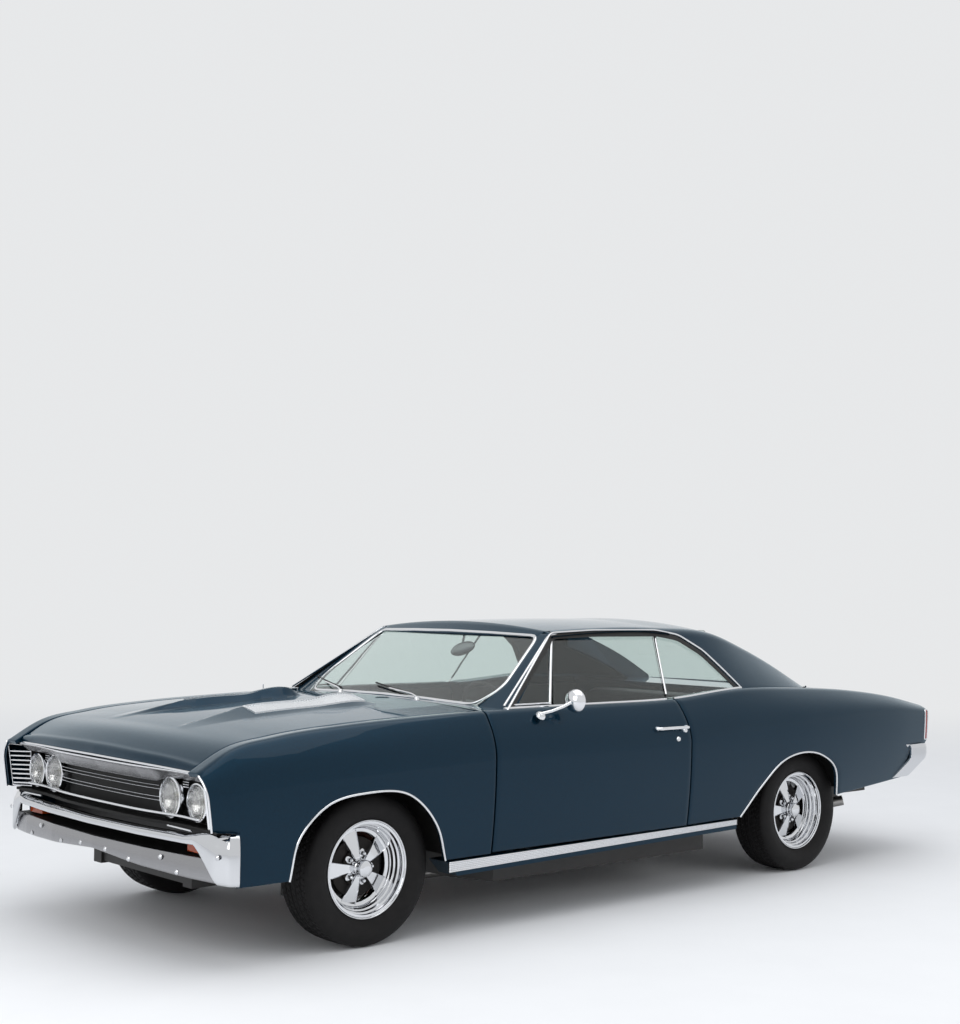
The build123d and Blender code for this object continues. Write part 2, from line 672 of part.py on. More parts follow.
def make_front_suspension():
    """Control arms and spring towers of one front wheel."""
    lower, upper = make_arms()
    inner, outer = FRONT_RAIL_Y - RAIL_WIDTH / 2, FRONT_RAIL_Y + RAIL_WIDTH / 2
    rail_top, rail_foot = FRONT_RAIL_Z + RAIL_DEPTH / 2, FRONT_RAIL_Z - RAIL_DEPTH / 2
    tower = box(FRONT_AXLE_X - 90, FRONT_AXLE_X + 90, inner, outer, rail_top + SEAT, 500)
    foot = box(FRONT_AXLE_X - 125, FRONT_AXLE_X + 125, inner + 11, outer, 160, rail_foot - SEAT)
    return Compound(children=[lower, upper, tower, foot])


AXLE_TUBE_RADIUS = 38
PINION_REACH = 220


def make_rear_axle():
    """Rear axle: its housing, two tubes and the drums' backing plates."""
    axle = bar((REAR_AXLE_X, -BACKING_Y, HUB_Z), (REAR_AXLE_X, BACKING_Y, HUB_Z), AXLE_TUBE_RADIUS)
    axle += Pos(REAR_AXLE_X, 0, HUB_Z) * Sphere(135)
    axle += bar((REAR_AXLE_X, 0, HUB_Z), (REAR_AXLE_X + PINION_REACH, 0, HUB_Z), 52)
    for side in (1, -1):
        axle += bar((REAR_AXLE_X, side * (BACKING_Y - BACKING_WALL), HUB_Z),
                    (REAR_AXLE_X, side * BACKING_Y, HUB_Z), DRUM_RADIUS - 4)
    return axle


def make_rear_spring():
    """One rear coil spring as a plain column between the axle and the frame's kick-up."""
    top = RAIL_KICK_Z - RAIL_DEPTH / 2 - SEAT
    foot = HUB_Z + AXLE_TUBE_RADIUS + SEAT
    return bar((REAR_AXLE_X, REAR_RAIL_Y, foot), (REAR_AXLE_X, REAR_RAIL_Y, top), 52)


ENGINE_X = (1200, 1830)
ENGINE_Y = 290
GEARBOX_REAR_X = 560


def make_engine():
    """Engine and gearbox as one plain block at their real place."""
    block = box(*ENGINE_X, -ENGINE_Y, ENGINE_Y, 300, 800)
    gearbox = prism_x([(-110, 262), (-110, 400), (110, 400), (110, 262)], GEARBOX_REAR_X, ENGINE_X[0])
    return block + gearbox


def make_driveshaft():
    """Driveshaft from the gearbox to the rear axle."""
    rear_x = REAR_AXLE_X + PINION_REACH + SEAT
    return bar((GEARBOX_REAR_X - SEAT, 0, HUB_Z + 10), (rear_x, 0, HUB_Z), 38)


def pipe(points, radius):
    """A round pipe along a broken line, its bends rounded."""
    path = FilletPolyline(*points, radius=radius * 2.2)
    start = Plane(origin=path @ 0, z_dir=path % 0)
    return sweep(start * Circle(radius), path=path)


PIPE_RADIUS = 28
PIPE_WALL = 3
TIP_DEPTH = 60


def make_exhaust():
    """Left exhaust: pipe, muffler and tail pipe, whose hollow tip comes out behind the rear wheel."""
    beside_block = ENGINE_Y + PIPE_RADIUS + SEAT
    front = pipe([(1420, beside_block, 430), (1330, beside_block, 240), (1100, 330, 160), (-300, 330, 160),
                  (-520, 330, 215)], PIPE_RADIUS)
    muffler = box(-900, -500, 230, 430, 180, 260)
    bend, tip = Vector(REAR_AXLE_X - 421, 560, 270), Vector(REAR_AXLE_X - 568, 710, 317)
    tail = pipe([(-880, 330, 235), (REAR_AXLE_X - 271, 330, 235), tuple(bend), tuple(tip)], PIPE_RADIUS)
    inwards = (bend - tip).normalized()
    bore = bar(tuple(tip - inwards * PIPE_WALL), tuple(tip + inwards * TIP_DEPTH), PIPE_RADIUS - PIPE_WALL)
    return front + muffler + tail - bore


def make_tank():
    """Fuel tank below the trunk floor."""
    half = REAR_RAIL_Y - RAIL_WIDTH
    return box(-2190, -1760, -half, half, 250, TRUNK_Z - SHEET / 2 - SEAT)


STOP_Y = 560
STOP_RADIUS = 14


def lid_stops(x, foot_z, lid_shape):
    """Two rubber stops that a closed lid rests on."""
    stops = []
    for side in (1, -1):
        post = bar((x, side * STOP_Y, foot_z), (x, side * STOP_Y, foot_z + 200), STOP_RADIUS)
        post -= Pos(0, 0, -SEAT) * lid_shape
        stops.append(min(post.solids(), key=lambda solid: solid.center().Z))
    return stops


SUPPORT_X = (2205, 2217)
SUPPORT_TOP_Z = 850


def make_radiator(hood, fender_l, fender_r):
    """Radiator and its support panel from fender to fender, with the hood's rubber stops."""
    support = box(*SUPPORT_X, -935, 935, FRONT_RAIL_Z + RAIL_DEPTH / 2 + SEAT, SUPPORT_TOP_Z)
    support = largest(support - fender_l - fender_r)
    support += box(2150, SUPPORT_X[0], -330, 330, 400, 830)
    for stop in lid_stops(SUPPORT_X[0] - STOP_RADIUS + 4, SUPPORT_TOP_Z - 20, hood):
        support += stop
    return support


# Cowl and rear shelf
COWL_REAR_X = 862
COWL_EDGE_Z = 957
COWL_FOOT_Z = 905
COWL_RISE = [(COWL_REAR_X, 975), (HOOD_REAR_X - LID_GAP, 983)]


def cowl_z(x, y):
    """Height of the cowl's top."""
    return COWL_EDGE_Z + (column(COWL_RISE, 1, x) - COWL_EDGE_Z) * (1 - (y / (JAMB_Y - SEAT)) ** 2)


def make_cowl():
    """Cowl panel between hood and windshield, with the hinge pillars below its ends."""
    sections = []
    half = JAMB_Y - SEAT
    for x, centre_z in COWL_RISE:
        left, right = Vector(x, half, COWL_EDGE_Z), Vector(x, -half, COWL_EDGE_Z)
        foot_left, foot_right = Vector(x, half, COWL_FOOT_Z), Vector(x, -half, COWL_FOOT_Z)
        sections.append(Wire([
            Edge.make_three_point_arc(left, Vector(x, 0, centre_z), right),
            Edge.make_line(right, foot_right),
            Edge.make_line(foot_right, foot_left),
            Edge.make_line(foot_left, left),
        ]))
    top = Solid.make_loft(sections, ruled=True)
    front = HOOD_REAR_X - LID_GAP
    pillar = box(COWL_REAR_X + 23, front, FLOOR_HALF + SEAT, half, ROCKER_TOP_Z + 4, COWL_FOOT_Z)
    return top + pillar + mirrored(pillar)


def make_deck_panel():
    """Panel between the rear window's foot and the decklid, with the parcel shelf ahead of it."""
    half = [(x, column(SIDE, 1, x) - FLANGE_REAR - 1.5) for x in (-1130, -1270, DECK_FRONT_X + LID_GAP)]
    return prism_z(half + [(x, -y) for x, y in half[::-1]], 948, 966)


def make_tail_panel():
    """Tail panel between the quarters' ends, below the decklid."""
    half = [(765, 470), (765, 618), (872, 618), (879, 806), (879, 812)]
    outline = half + [(-y, z) for y, z in half[::-1]]
    return prism_x(outline, DECK_REAR_X + LID_GAP - 12, DECK_REAR_X + LID_GAP)


TAIL_LAMP = (560, 790, 640, 800)


def make_tail_lamp():
    """Left tail lamp."""
    y0, y1, z0, z1 = TAIL_LAMP
    x = DECK_REAR_X + LID_GAP - 12 - SEAT
    return box(x - 14, x, y0, y1, z0, z1)


# Front end. Columns of the grille's top edge in plan: x, y
GRILLE_EDGE = [(2500, 0), (2492, 330), (2460, 640), (2464, 755)]
GRILLE_BACK_X = 2385
GRILLE_Z = (562, 752)
LAMPS = [(2408, 518, 651), (2400, 706, 648)]
LAMP_RADIUS = 78
GRILLE_BARS = 8
LOUVRE_Y = (792, 878)
LOUVRES = 8


def front_plan(edge, back_x, low, high):
    """A shelf from a flat back to a bowed front edge, on both sides of the middle."""
    outline = edge + [(back_x, edge[-1][1])]
    outline += [(back_x, -edge[-1][1])] + [(x, -y) for x, y in edge[::-1]][:-1]
    return prism_z(outline, low, high)


def make_grille():
    """Grille: back plate, bright frame above and below, thin bars between the lamps."""
    z0, z1 = GRILLE_Z
    grille = box(GRILLE_BACK_X - 6, GRILLE_BACK_X, -925, 925, z0, z1)
    grille += front_plan(GRILLE_EDGE, GRILLE_BACK_X - 6, z1 - 12, z1)
    lower = [(x - 42, y) for x, y in GRILLE_EDGE]
    grille += front_plan(lower, GRILLE_BACK_X - 6, z0 - 14, z0 + 2)
    for n in range(GRILLE_BARS):
        z = z0 + (z1 - z0) / (GRILLE_BARS + 1) * (n + 1)
        grille += box(GRILLE_BACK_X, GRILLE_BACK_X + 40, -425, 425, z - 2, z + 2)
    for y in (-425, -212, 0, 212, 425):
        grille += box(GRILLE_BACK_X - 2, GRILLE_BACK_X + 34, y - 3, y + 3, z0, z1)
    for n in range(LOUVRES):
        z = z0 + (z1 - z0) / LOUVRES * (n + 0.5)
        front_x = GRILLE_BACK_X + 52 + 18 * n / LOUVRES
        louvre = box(GRILLE_BACK_X, front_x, *LOUVRE_Y, z - 4, z + 4)
        grille += louvre + mirrored(louvre)
    return grille


def make_headlamp(x, y, z):
    """One round headlamp in its bezel, seated on the grille's back plate."""
    back = GRILLE_BACK_X + SEAT - x
    bezel = [(0, back), (LAMP_RADIUS, back), (LAMP_RADIUS, 16), (LAMP_RADIUS - 6, 24)]
    profile = bezel + [(LAMP_RADIUS - 7, 12), (60, 18), (30, 24), (0, 26)]
    lamp = revolve(Face(Wire.make_polygon([Vector(d, r, 0) for r, d in profile], close=True)), Axis.X, 360)
    return Pos(x, y, z) * lamp


BUMPER_EDGE = [(2520, 0), (2508, 400), (2476, 720), (2446, 880), (2415, 945), (2370, 966)]
BUMPER_WALL = 22
BUMPER_FRONT = [(0, 548), (966, 540), (966, 346), (880, 350), (775, 496), (0, 494)]
REAR_EDGE = [(-2484, 0), (-2474, 500), (-2440, 800), (-2400, 885), (-2340, 912), (-2250, 918)]
REAR_BUMPER_BACK = [(0, 612), (930, 612), (930, 436), (0, 436)]


def bumper(edge, outline, towards):
    """A bowed blade: its plan strip cut to its outline from the front."""
    strip = edge[::-1] + [(x, -y) for x, y in edge[1:]]
    inner = [(x - towards * BUMPER_WALL / 2, y) for x, y in strip]
    band = prism_z(ribbon(inner, BUMPER_WALL), 200, 800)
    face = outline + [(-y, z) for y, z in outline[::-1] if y]
    return band & prism_x(face, -3000, 3000)


def make_front_bumper():
    """Front bumper blade with its end wings and the brackets that carry it."""
    blade = bumper(BUMPER_EDGE, BUMPER_FRONT, 1)
    for side in (1, -1):
        y0, y1 = side * 380, side * 400
        blade += box(2260, 2496, y0, y1, 500, 530) + box(SUPPORT_X[1] + SEAT, 2280, y0, y1, 420, 530)
    return blade


def make_rear_bumper():
    """Rear bumper with its wrapped ends and brackets."""
    blade = bumper(REAR_EDGE, REAR_BUMPER_BACK, -1)
    blade -= prism_y([(-2430, 650), (-2229, 440), (-2229, 300), (-2000, 300), (-2000, 650)], -1000, 1000)
    for side in (1, -1):
        blade += box(-2465, DECK_REAR_X + LID_GAP - 12 - SEAT, side * 480, side * 520, 480, 540)
    return blade


VALANCE_WALL = 8
VALANCE_Z = (352, 446)
VALANCE_FACE = [(0, VALANCE_Z[1]), (870, VALANCE_Z[1]), (870, VALANCE_Z[0]), (0, VALANCE_Z[0] + 8)]
TRAY_WALL = 12


def make_valance(blade):
    """Lower face bar behind the bumper's slots, with the tray above it that carries the park lamps."""
    back = BUMPER_WALL + VALANCE_WALL / 2 + SEAT
    edge = [(x - back, y) for x, y in BUMPER_EDGE[:4]]
    strip = edge[::-1] + [(x, -y) for x, y in edge[1:]]
    outline = VALANCE_FACE + [(-y, z) for y, z in VALANCE_FACE[::-1] if y]
    face = prism_z(ribbon(strip, VALANCE_WALL), *VALANCE_Z) & prism_x(outline, -3000, 3000)
    top = VALANCE_Z[1]
    tray = front_plan([(x - 2, y) for x, y in edge], 2350, top - TRAY_WALL / 2, top + TRAY_WALL / 2)
    leg = box(SUPPORT_X[1] + SEAT, 2352, 590, 610, top - TRAY_WALL / 2, top + TRAY_WALL / 2)
    return largest(tray + face + leg + mirrored(leg) - blade)


PARK_LAMP = (2372, 2412, 640, 760)
PARK_LAMP_HEIGHT = 34


def make_park_lamp():
    """Left park lamp, standing on the tray in the bumper's outer slot."""
    foot = VALANCE_Z[1] + TRAY_WALL / 2 + SEAT
    return box(*PARK_LAMP, foot, foot + PARK_LAMP_HEIGHT)


def make_windshield(cowl):
    """Windshield: a bent pane in its opening, standing on the cowl."""
    pane = front_greenhouse(10) - front_greenhouse(10 + GLASS)
    return (pane & windshield_opening(SEAT) & box(400, 1300, -900, 900, 950, 1400)) - cowl


def rear_opening(inset, low, high):
    """The rear window's opening, carried rearwards."""
    half = [(y - inset, z + (inset if z < 1100 else -inset)) for y, z in REAR_PANE]
    return prism_x([*half, *((-y, z) for y, z in half[::-1])], low, high)


def make_rear_window():
    """Rear window: a flat pane between the sail panels."""
    pane = behind_backlight(-12) - behind_backlight(-12 + GLASS)
    return pane & rear_opening(SEAT, -1800, -500)


def shrunk(points, distance):
    """A closed outline moved in on every side by one distance. Points run anticlockwise or clockwise."""
    area = sum(x0 * y1 - x1 * y0 for (x0, y0), (x1, y1) in zip(points, points[1:] + points[:1]))
    turn = 1 if area > 0 else -1
    moved = []
    for (ax, ay), (bx, by), (cx, cy) in zip(points[-1:] + points[:-1], points, points[1:] + points[:1]):
        u, v = math.hypot(bx - ax, by - ay), math.hypot(cx - bx, cy - by)
        n0 = (-(by - ay) / u * turn, (bx - ax) / u * turn)
        n1 = (-(cy - by) / v * turn, (cx - bx) / v * turn)
        scale = distance / (1 + n0[0] * n1[0] + n0[1] * n1[1])
        moved.append((bx + (n0[0] + n1[0]) * scale, by + (n0[1] + n1[1]) * scale))
    return moved


def between(line_ahead, line_behind, gap):
    """The space between two leaning lines of the side view, short of each by half a gap."""
    (ax0, az0), (ax1, az1) = line_ahead
    (bx0, bz0), (bx1, bz1) = line_behind
    outline = [(ax0 - gap / 2, az0), (ax1 - gap / 2, az1), (bx1 + gap / 2, bz1), (bx0 + gap / 2, bz0)]
    return prism_y(outline, 400, 1000)


def make_side_panes():
    """Left side glass: vent pane and main pane of the door, and the quarter pane behind them."""
    whole = glass_pane(shrunk(SIDE_WINDOW, GLASS_EDGE))
    ahead = [(1000, 1330), (1000, 930)]
    behind = [(-900, 1330), (-900, 930)]
    vent = whole & between(ahead, VENT_LINE, VENT_POST)
    main = whole & between(VENT_LINE, PANE_LINE, PANE_GAP)
    quarter = whole & between(PANE_LINE, behind, PANE_GAP)
    return vent, main, quarter


def make_dashboard():
    """Dashboard below the windshield, seated on the cowl's rear face."""
    rear = COWL_REAR_X - SEAT
    outline = [(rear, 955), (710, 948), (640, 905), (670, 860), (760, 740), (rear, 740)]
    return prism_y(outline, -800, 800)


FRONT_CUSHION = [(0, 294 + SEAT), (500, 294 + SEAT), (515, 420), (480, 455), (0, 420)]
FRONT_BACK = [(-90, 400), (0, 294 + SEAT), (30, 440), (-60, 880), (-130, 905), (-190, 870)]


def make_front_seat():
    """One front bucket seat."""
    cushion = prism_y([(x - 20, z) for x, z in FRONT_CUSHION], 170, 650)
    back = prism_y([(x - 20, z) for x, z in FRONT_BACK], 180, 640)
    return cushion + back


REAR_SEAT = [
    (-590, 514.7), (-570, 600), (-985, 575), (-1110, 935), (-1190, 935), (-1110, 540), (-1100, 530.5),
]


def make_rear_seat():
    """Rear bench seat on its pan."""
    return prism_y(REAR_SEAT, -565, 565)


COLUMN_START = (700, 370, 800)
COLUMN_END = (560, 370, 860)
COLUMN_RADIUS = 30
RIM_OF_WHEEL = 195


def make_steering_column():
    """Steering column through the dashboard to the steering wheel."""
    return bar(COLUMN_START, COLUMN_END, COLUMN_RADIUS)


def make_steering_wheel():
    """Thin-rimmed steering wheel with three spokes."""
    wheel = Torus(RIM_OF_WHEEL, 10) + Cylinder(34, 24)
    for n in range(3):
        wheel += Rot(0, 0, 120 * n + 90) * Pos(RIM_OF_WHEEL / 2, 0, 0) * Box(RIM_OF_WHEEL, 24, 6)
    along = (Vector(*COLUMN_END) - Vector(*COLUMN_START)).normalized()
    plane = Plane(origin=Vector(*COLUMN_END) + along * (12 + SEAT), z_dir=along)
    return plane.location * wheel


MIRROR_AT = (580, 965, 1000)
MIRROR_RADIUS = 46


def make_mirror():
    """Round door mirror on a curved arm."""
    head = Pos(*MIRROR_AT) * Rot(0, 90, 0) * Cylinder(MIRROR_RADIUS, 30)
    arm = bar((590, 895, 968), (580, 945, 985), 8)
    foot = box(560, 620, 862, 905, 962 + SEAT, 970)
    return head + arm + foot


def make_handle(door):
    """Push-button door handle on the door's outer face: a bar on two feet."""
    handle = box(-230, -4, 966, 980, 825, 841)
    handle += box(-230, -190, 940, 970, 823, 843) + box(-34, -4, 940, 970, 825, 841)
    return handle - Pos(0, SEAT, 0) * door


def make_wipers():
    """Two wiper arms and blades at rest on the cowl."""
    pieces = []
    for x, y, reach in ((994, 200, 300), (994, -300, 300)):
        foot = cowl_z(x, y) + 2 * SEAT
        pivot = bar((x, y, foot), (x, y, foot + 22), 12)
        arm = bar((x, y, foot + 14), (x - 14, y + reach, foot + 10), 5)
        pieces.append(pivot + arm)
    return pieces


ANTENNA = (1090, -835)
ANTENNA_BASE_RADIUS = 11
ANTENNA_Z = (945, 966, 992)


def make_antenna(fender):
    """Short antenna stub on the right fender."""
    x, y = ANTENNA
    foot, shoulder, top = ANTENNA_Z
    base = bar((x, y, foot), (x, y, shoulder), ANTENNA_BASE_RADIUS) - Pos(0, 0, SEAT) * fender
    base = max(base.solids(), key=lambda solid: solid.center().Z)
    return base + bar((x, y, shoulder - 1), (x, y, top), ANTENNA_BASE_RADIUS / 3)


def make_insert(side):
    """Ribbed bright insert in a hood blister."""
    plate = None
    x0, x1 = INSERT_X
    count = round((x1 - x0) / INSERT_PITCH)
    for n in range(count):
        x = x0 + INSERT_PITCH * (n + 0.5)
        z = blister_z(x) + 3 * SEAT
        rib = box(x - INSERT_RIB / 2, x + INSERT_RIB / 2, BLISTER_Y - 56, BLISTER_Y + 56, z, z + 8)
        plate = rib if plate is None else plate + rib
    return plate if side > 0 else mirrored(plate)


left = {
    "fender": fender_left(),
    "quarter": quarter_left(),
    "door": door_left(),
}
slot = glass_pane([(-192, 900), (-192, 1020), (-780, 1020), (-780, 900)], GLASS + 2 * SEAT, SEAT)
left["quarter"] = left["quarter"] - slot
vent_pane, door_pane, quarter_pane = make_side_panes()
cowl = make_cowl()
deck_panel = make_deck_panel()
floor = make_floor()

parts = {}
for name, shape in left.items():
    parts[name + "_left"] = shape
    parts[name + "_right"] = mirrored(shape)
parts["roof"] = make_roof() - cowl - deck_panel - parts["quarter_left"] - parts["quarter_right"]
parts["hood"] = (lid(HOOD_RISE, FLANGE_FRONT) & hood_plan()) + blister() + mirrored(blister())
parts["hood_inserts"] = Compound(children=[make_insert(1), make_insert(-1)])
parts["decklid"] = lid(DECK_RISE, FLANGE_REAR)
parts["cowl"] = cowl
parts["deck_panel"] = deck_panel
tail_panel = make_tail_panel() - parts["quarter_left"] - parts["quarter_right"]
for stop in lid_stops(DECK_REAR_X + LID_GAP + STOP_RADIUS - 4, 790, parts["decklid"]):
    tail_panel += stop
parts["tail_panel"] = tail_panel
parts["tail_lamps"] = both_sides(make_tail_lamp())
parts["grille"] = largest(make_grille() - parts["fender_left"] - parts["fender_right"])
lamps = [make_headlamp(*lamp) for lamp in LAMPS]
parts["headlamps"] = Compound(children=[*lamps, *(mirrored(lamp) for lamp in lamps)])
parts["front_bumper"] = make_front_bumper()
parts["rear_bumper"] = make_rear_bumper()
parts["front_valance"] = make_valance(parts["front_bumper"])
parts["park_lamps"] = both_sides(make_park_lamp())
parts["windshield"] = make_windshield(cowl)
parts["rear_window"] = make_rear_window()
parts["quarter_windows"] = both_sides(quarter_pane)
parts["rocker_panels"] = both_sides(make_rocker())
parts["rocker_mouldings"] = both_sides(make_rocker_moulding())
parts["frame"] = make_frame()
parts["floor_pan"] = floor
front_house = make_wheelhouse(FRONT_WELL, WELL_INNER_Y[0], WELL_WALL_Z[0], left["fender"])
rear_house = make_wheelhouse(REAR_WELL, WELL_INNER_Y[1], WELL_WALL_Z[1], left["quarter"])
houses = [front_house, rear_house]
parts["wheelhouses"] = Compound(children=[*houses, *(mirrored(house) for house in houses)])
suspension = make_front_suspension()
parts["front_suspension"] = Compound(children=[*suspension.solids(), *mirrored(suspension).solids()])
parts["rear_axle"] = make_rear_axle()
parts["rear_springs"] = both_sides(make_rear_spring())
parts["engine"] = make_engine()
parts["driveshaft"] = make_driveshaft()
parts["exhaust"] = both_sides(make_exhaust())
parts["fuel_tank"] = make_tank()
parts["radiator"] = make_radiator(parts["hood"], parts["fender_left"], parts["fender_right"])
parts["dashboard"] = make_dashboard() - bar(COLUMN_START, COLUMN_END, COLUMN_RADIUS + SEAT)
parts["front_seats"] = both_sides(make_front_seat())
parts["rear_seat"] = make_rear_seat()
parts["steering_column"] = make_steering_column()
parts["steering_wheel"] = make_steering_wheel()
parts["wipers"] = Compound(children=make_wipers())
parts["antenna"] = make_antenna(parts["fender_right"])
parts["mirror_left"] = make_mirror()
for name, side in (("left", 1), ("right", -1)):
    panes = Compound(children=[vent_pane, door_pane])
    parts["door_glass_" + name] = panes if side > 0 else mirrored(panes)
    handle = make_handle(left["door"])
    parts["door_handle_" + name] = handle if side > 0 else mirrored(handle)
    knuckle = make_knuckle()
    parts["knuckle_" + name] = knuckle if side > 0 else mirrored(knuckle)
    for end, x in (("front", FRONT_AXLE_X), ("rear", REAR_AXLE_X)):
        wheel = make_wheel(x)
        parts[f"wheel_{end}_{name}"] = wheel if side > 0 else mirrored(wheel)
        parts[f"tyre_{end}_{name}"] = make_tyre(x, side)

os.makedirs("parts", exist_ok=True)
for node, shape in parts.items():
    export_step(shape, f"parts/{node}.step")
    print(node, round(shape.volume), len(shape.solids()))
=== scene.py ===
import json
import math

import bmesh
import bpy
import numpy as np
from mathutils import Matrix


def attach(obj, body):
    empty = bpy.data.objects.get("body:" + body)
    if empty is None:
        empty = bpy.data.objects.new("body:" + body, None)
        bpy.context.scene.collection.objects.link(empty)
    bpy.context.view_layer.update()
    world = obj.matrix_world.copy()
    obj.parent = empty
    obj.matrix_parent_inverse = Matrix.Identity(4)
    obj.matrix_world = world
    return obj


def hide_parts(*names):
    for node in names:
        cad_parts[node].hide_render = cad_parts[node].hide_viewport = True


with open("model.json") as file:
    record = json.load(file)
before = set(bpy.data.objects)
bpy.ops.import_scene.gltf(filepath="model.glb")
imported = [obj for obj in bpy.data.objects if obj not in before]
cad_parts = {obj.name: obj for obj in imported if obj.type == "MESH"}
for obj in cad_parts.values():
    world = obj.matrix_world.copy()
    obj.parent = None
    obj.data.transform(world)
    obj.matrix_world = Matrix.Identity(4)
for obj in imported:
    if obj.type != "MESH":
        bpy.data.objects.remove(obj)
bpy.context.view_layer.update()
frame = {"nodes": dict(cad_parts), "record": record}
NODES = frame["nodes"]

# The studio: a pale floor that fades into a pale sky, and three soft lamps. The camera stands at eye
# height off the car's left front corner, as the photograph was taken, with a short telephoto lens.
CAMERA_AT = (5.719, 6.155, 1.508)
CAMERA_YAW, CAMERA_PITCH, CAMERA_ROLL = np.radians([-131.26, 2.764, 0.571])
FOCAL_PIXELS, LONG_SIDE_PIXELS, SENSOR = 1575.1, 1024, 36.0
PALE = (0.80, 0.81, 0.82, 1.0)

scene = bpy.context.scene
scene.view_settings.view_transform = "Standard"

look = np.array([math.cos(CAMERA_YAW) * math.cos(CAMERA_PITCH),
                 math.sin(CAMERA_YAW) * math.cos(CAMERA_PITCH), math.sin(CAMERA_PITCH)])
level = np.cross(look, (0, 0, 1))
level /= np.linalg.norm(level)
upright = np.cross(level, look)
across = math.cos(CAMERA_ROLL) * level + math.sin(CAMERA_ROLL) * upright
above = math.cos(CAMERA_ROLL) * upright - math.sin(CAMERA_ROLL) * level
camera_data = bpy.data.cameras.new("camera")
camera_data.sensor_width = SENSOR
camera_data.lens = FOCAL_PIXELS / LONG_SIDE_PIXELS * SENSOR
camera_data.clip_end = 200
camera = bpy.data.objects.new("camera", camera_data)
scene.collection.objects.link(camera)
axes = np.column_stack([across, above, -look])
camera.matrix_world = Matrix([[*row, place] for row, place in zip(axes, CAMERA_AT)] + [[0, 0, 0, 1]])
scene.camera = camera


def soft_lamp(name, place, target, size, power, glossy=True):
    """A square area lamp at a place, facing a target, that may be kept out of reflections."""
    data = bpy.data.lights.new(name, "AREA")
    data.size, data.energy = size, power
    lamp = bpy.data.objects.new(name, data)
    lamp.visible_glossy = glossy
    scene.collection.objects.link(lamp)
    back = np.array(place, float) - target
    back /= np.linalg.norm(back)
    side = np.cross((0, 0, 1), back) if abs(back[2]) < 0.99 else np.array([1.0, 0, 0])
    side /= np.linalg.norm(side)
    turn = np.column_stack([side, np.cross(back, side), back])
    lamp.matrix_world = Matrix([[*row, at] for row, at in zip(turn, place)] + [[0, 0, 0, 1]])


soft_lamp("overhead", (0.5, 1.0, 6.0), (0, 0, 0.5), 6.0, 130)
soft_lamp("key", (6.5, 2.0, 3.6), (0.4, 0, 0.6), 3.5, 90)
soft_lamp("fill", (-3.0, 7.5, 3.0), (-0.4, 0, 0.6), 4.0, 65, glossy=False)


def new_material(name, sockets=()):
    """A node material and its surface shader, with the given constants on the shader's sockets."""
    material = bpy.data.materials.new(name)
    material.use_nodes = True
    shader = material.node_tree.nodes["Principled BSDF"]
    for socket, value in dict(sockets).items():
        shader.inputs[socket].default_value = value
    return material, material.node_tree, shader


def linked(tree, kind, inputs=(), **settings):
    """A new node with its settings, and its inputs set to a number or joined to another node's output."""
    node = tree.nodes.new(kind)
    for key, value in settings.items():
        setattr(node, key, value)
    for socket, value in dict(inputs).items():
        if isinstance(value, bpy.types.NodeSocket):
            tree.links.new(value, node.inputs[socket])
        else:
            node.inputs[socket].default_value = value
    return node


def shared_effect(name, inputs, outputs):
    """An empty shader node group with named inputs and outputs, and its entry and leaving nodes."""
    group = bpy.data.node_groups.new(name, "ShaderNodeTree")
    for direction, sockets in (("INPUT", inputs), ("OUTPUT", outputs)):
        for socket, kind in sockets.items():
            group.interface.new_socket(socket, in_out=direction, socket_type="NodeSocket" + kind)
    return group, group.nodes.new("NodeGroupInput"), group.nodes.new("NodeGroupOutput")


def object_place(tree):
    """The piece's own coordinates, on which every pattern stands."""
    return linked(tree, "ShaderNodeTexCoord").outputs["Object"]


def add_mottle(name):
    """A shared effect: a colour that drifts between two shades in soft spots."""
    group, entry, leave = shared_effect(
        name, {"Scale": "Float", "Detail": "Float", "Dark": "Color", "Light": "Color"}, {"Color": "Color"})
    spots = linked(group, "ShaderNodeTexNoise", {"Vector": object_place(group),
                                                 "Scale": entry.outputs["Scale"],
                                                 "Detail": entry.outputs["Detail"]})
    tint = linked(group, "ShaderNodeMix", {0: spots.outputs["Fac"], 6: entry.outputs["Dark"],
                                           7: entry.outputs["Light"]},
                  data_type="RGBA")
    group.links.new(tint.outputs[2], leave.inputs["Color"])
    return group


mottle = add_mottle("soft_mottle")


def mottled(tree, shader, scale, detail, dark, light):
    """The shader's colour, mottled between two shades."""
    spots = linked(tree, "ShaderNodeGroup", {"Scale": scale, "Detail": detail, "Dark": (*dark, 1),
                                             "Light": (*light, 1)},
                   node_tree=mottle)
    tree.links.new(spots.outputs["Color"], shader.inputs["Base Color"])


world = bpy.data.worlds.new("sky")
scene.world = world
world.use_nodes = True
sky = world.node_tree
sky.nodes.clear()
rays = linked(sky, "ShaderNodeLightPath")
seen = linked(sky, "ShaderNodeMath", {0: rays.outputs["Is Camera Ray"], 1: rays.outputs["Is Glossy Ray"]},
              operation="MAXIMUM")
seen = linked(sky, "ShaderNodeMath", {0: seen.outputs[0], 1: rays.outputs["Is Transmission Ray"]},
              operation="MAXIMUM")
plain = linked(sky, "ShaderNodeBackground", {"Color": (0.94, 0.96, 1.0, 1.0), "Strength": 0.80})
backdrop = linked(sky, "ShaderNodeBackground", {"Color": PALE, "Strength": 1.0})
mixed = linked(sky, "ShaderNodeMixShader", {0: seen.outputs[0], 1: plain.outputs[0], 2: backdrop.outputs[0]})
linked(sky, "ShaderNodeOutputWorld", {"Surface": mixed.outputs[0]})

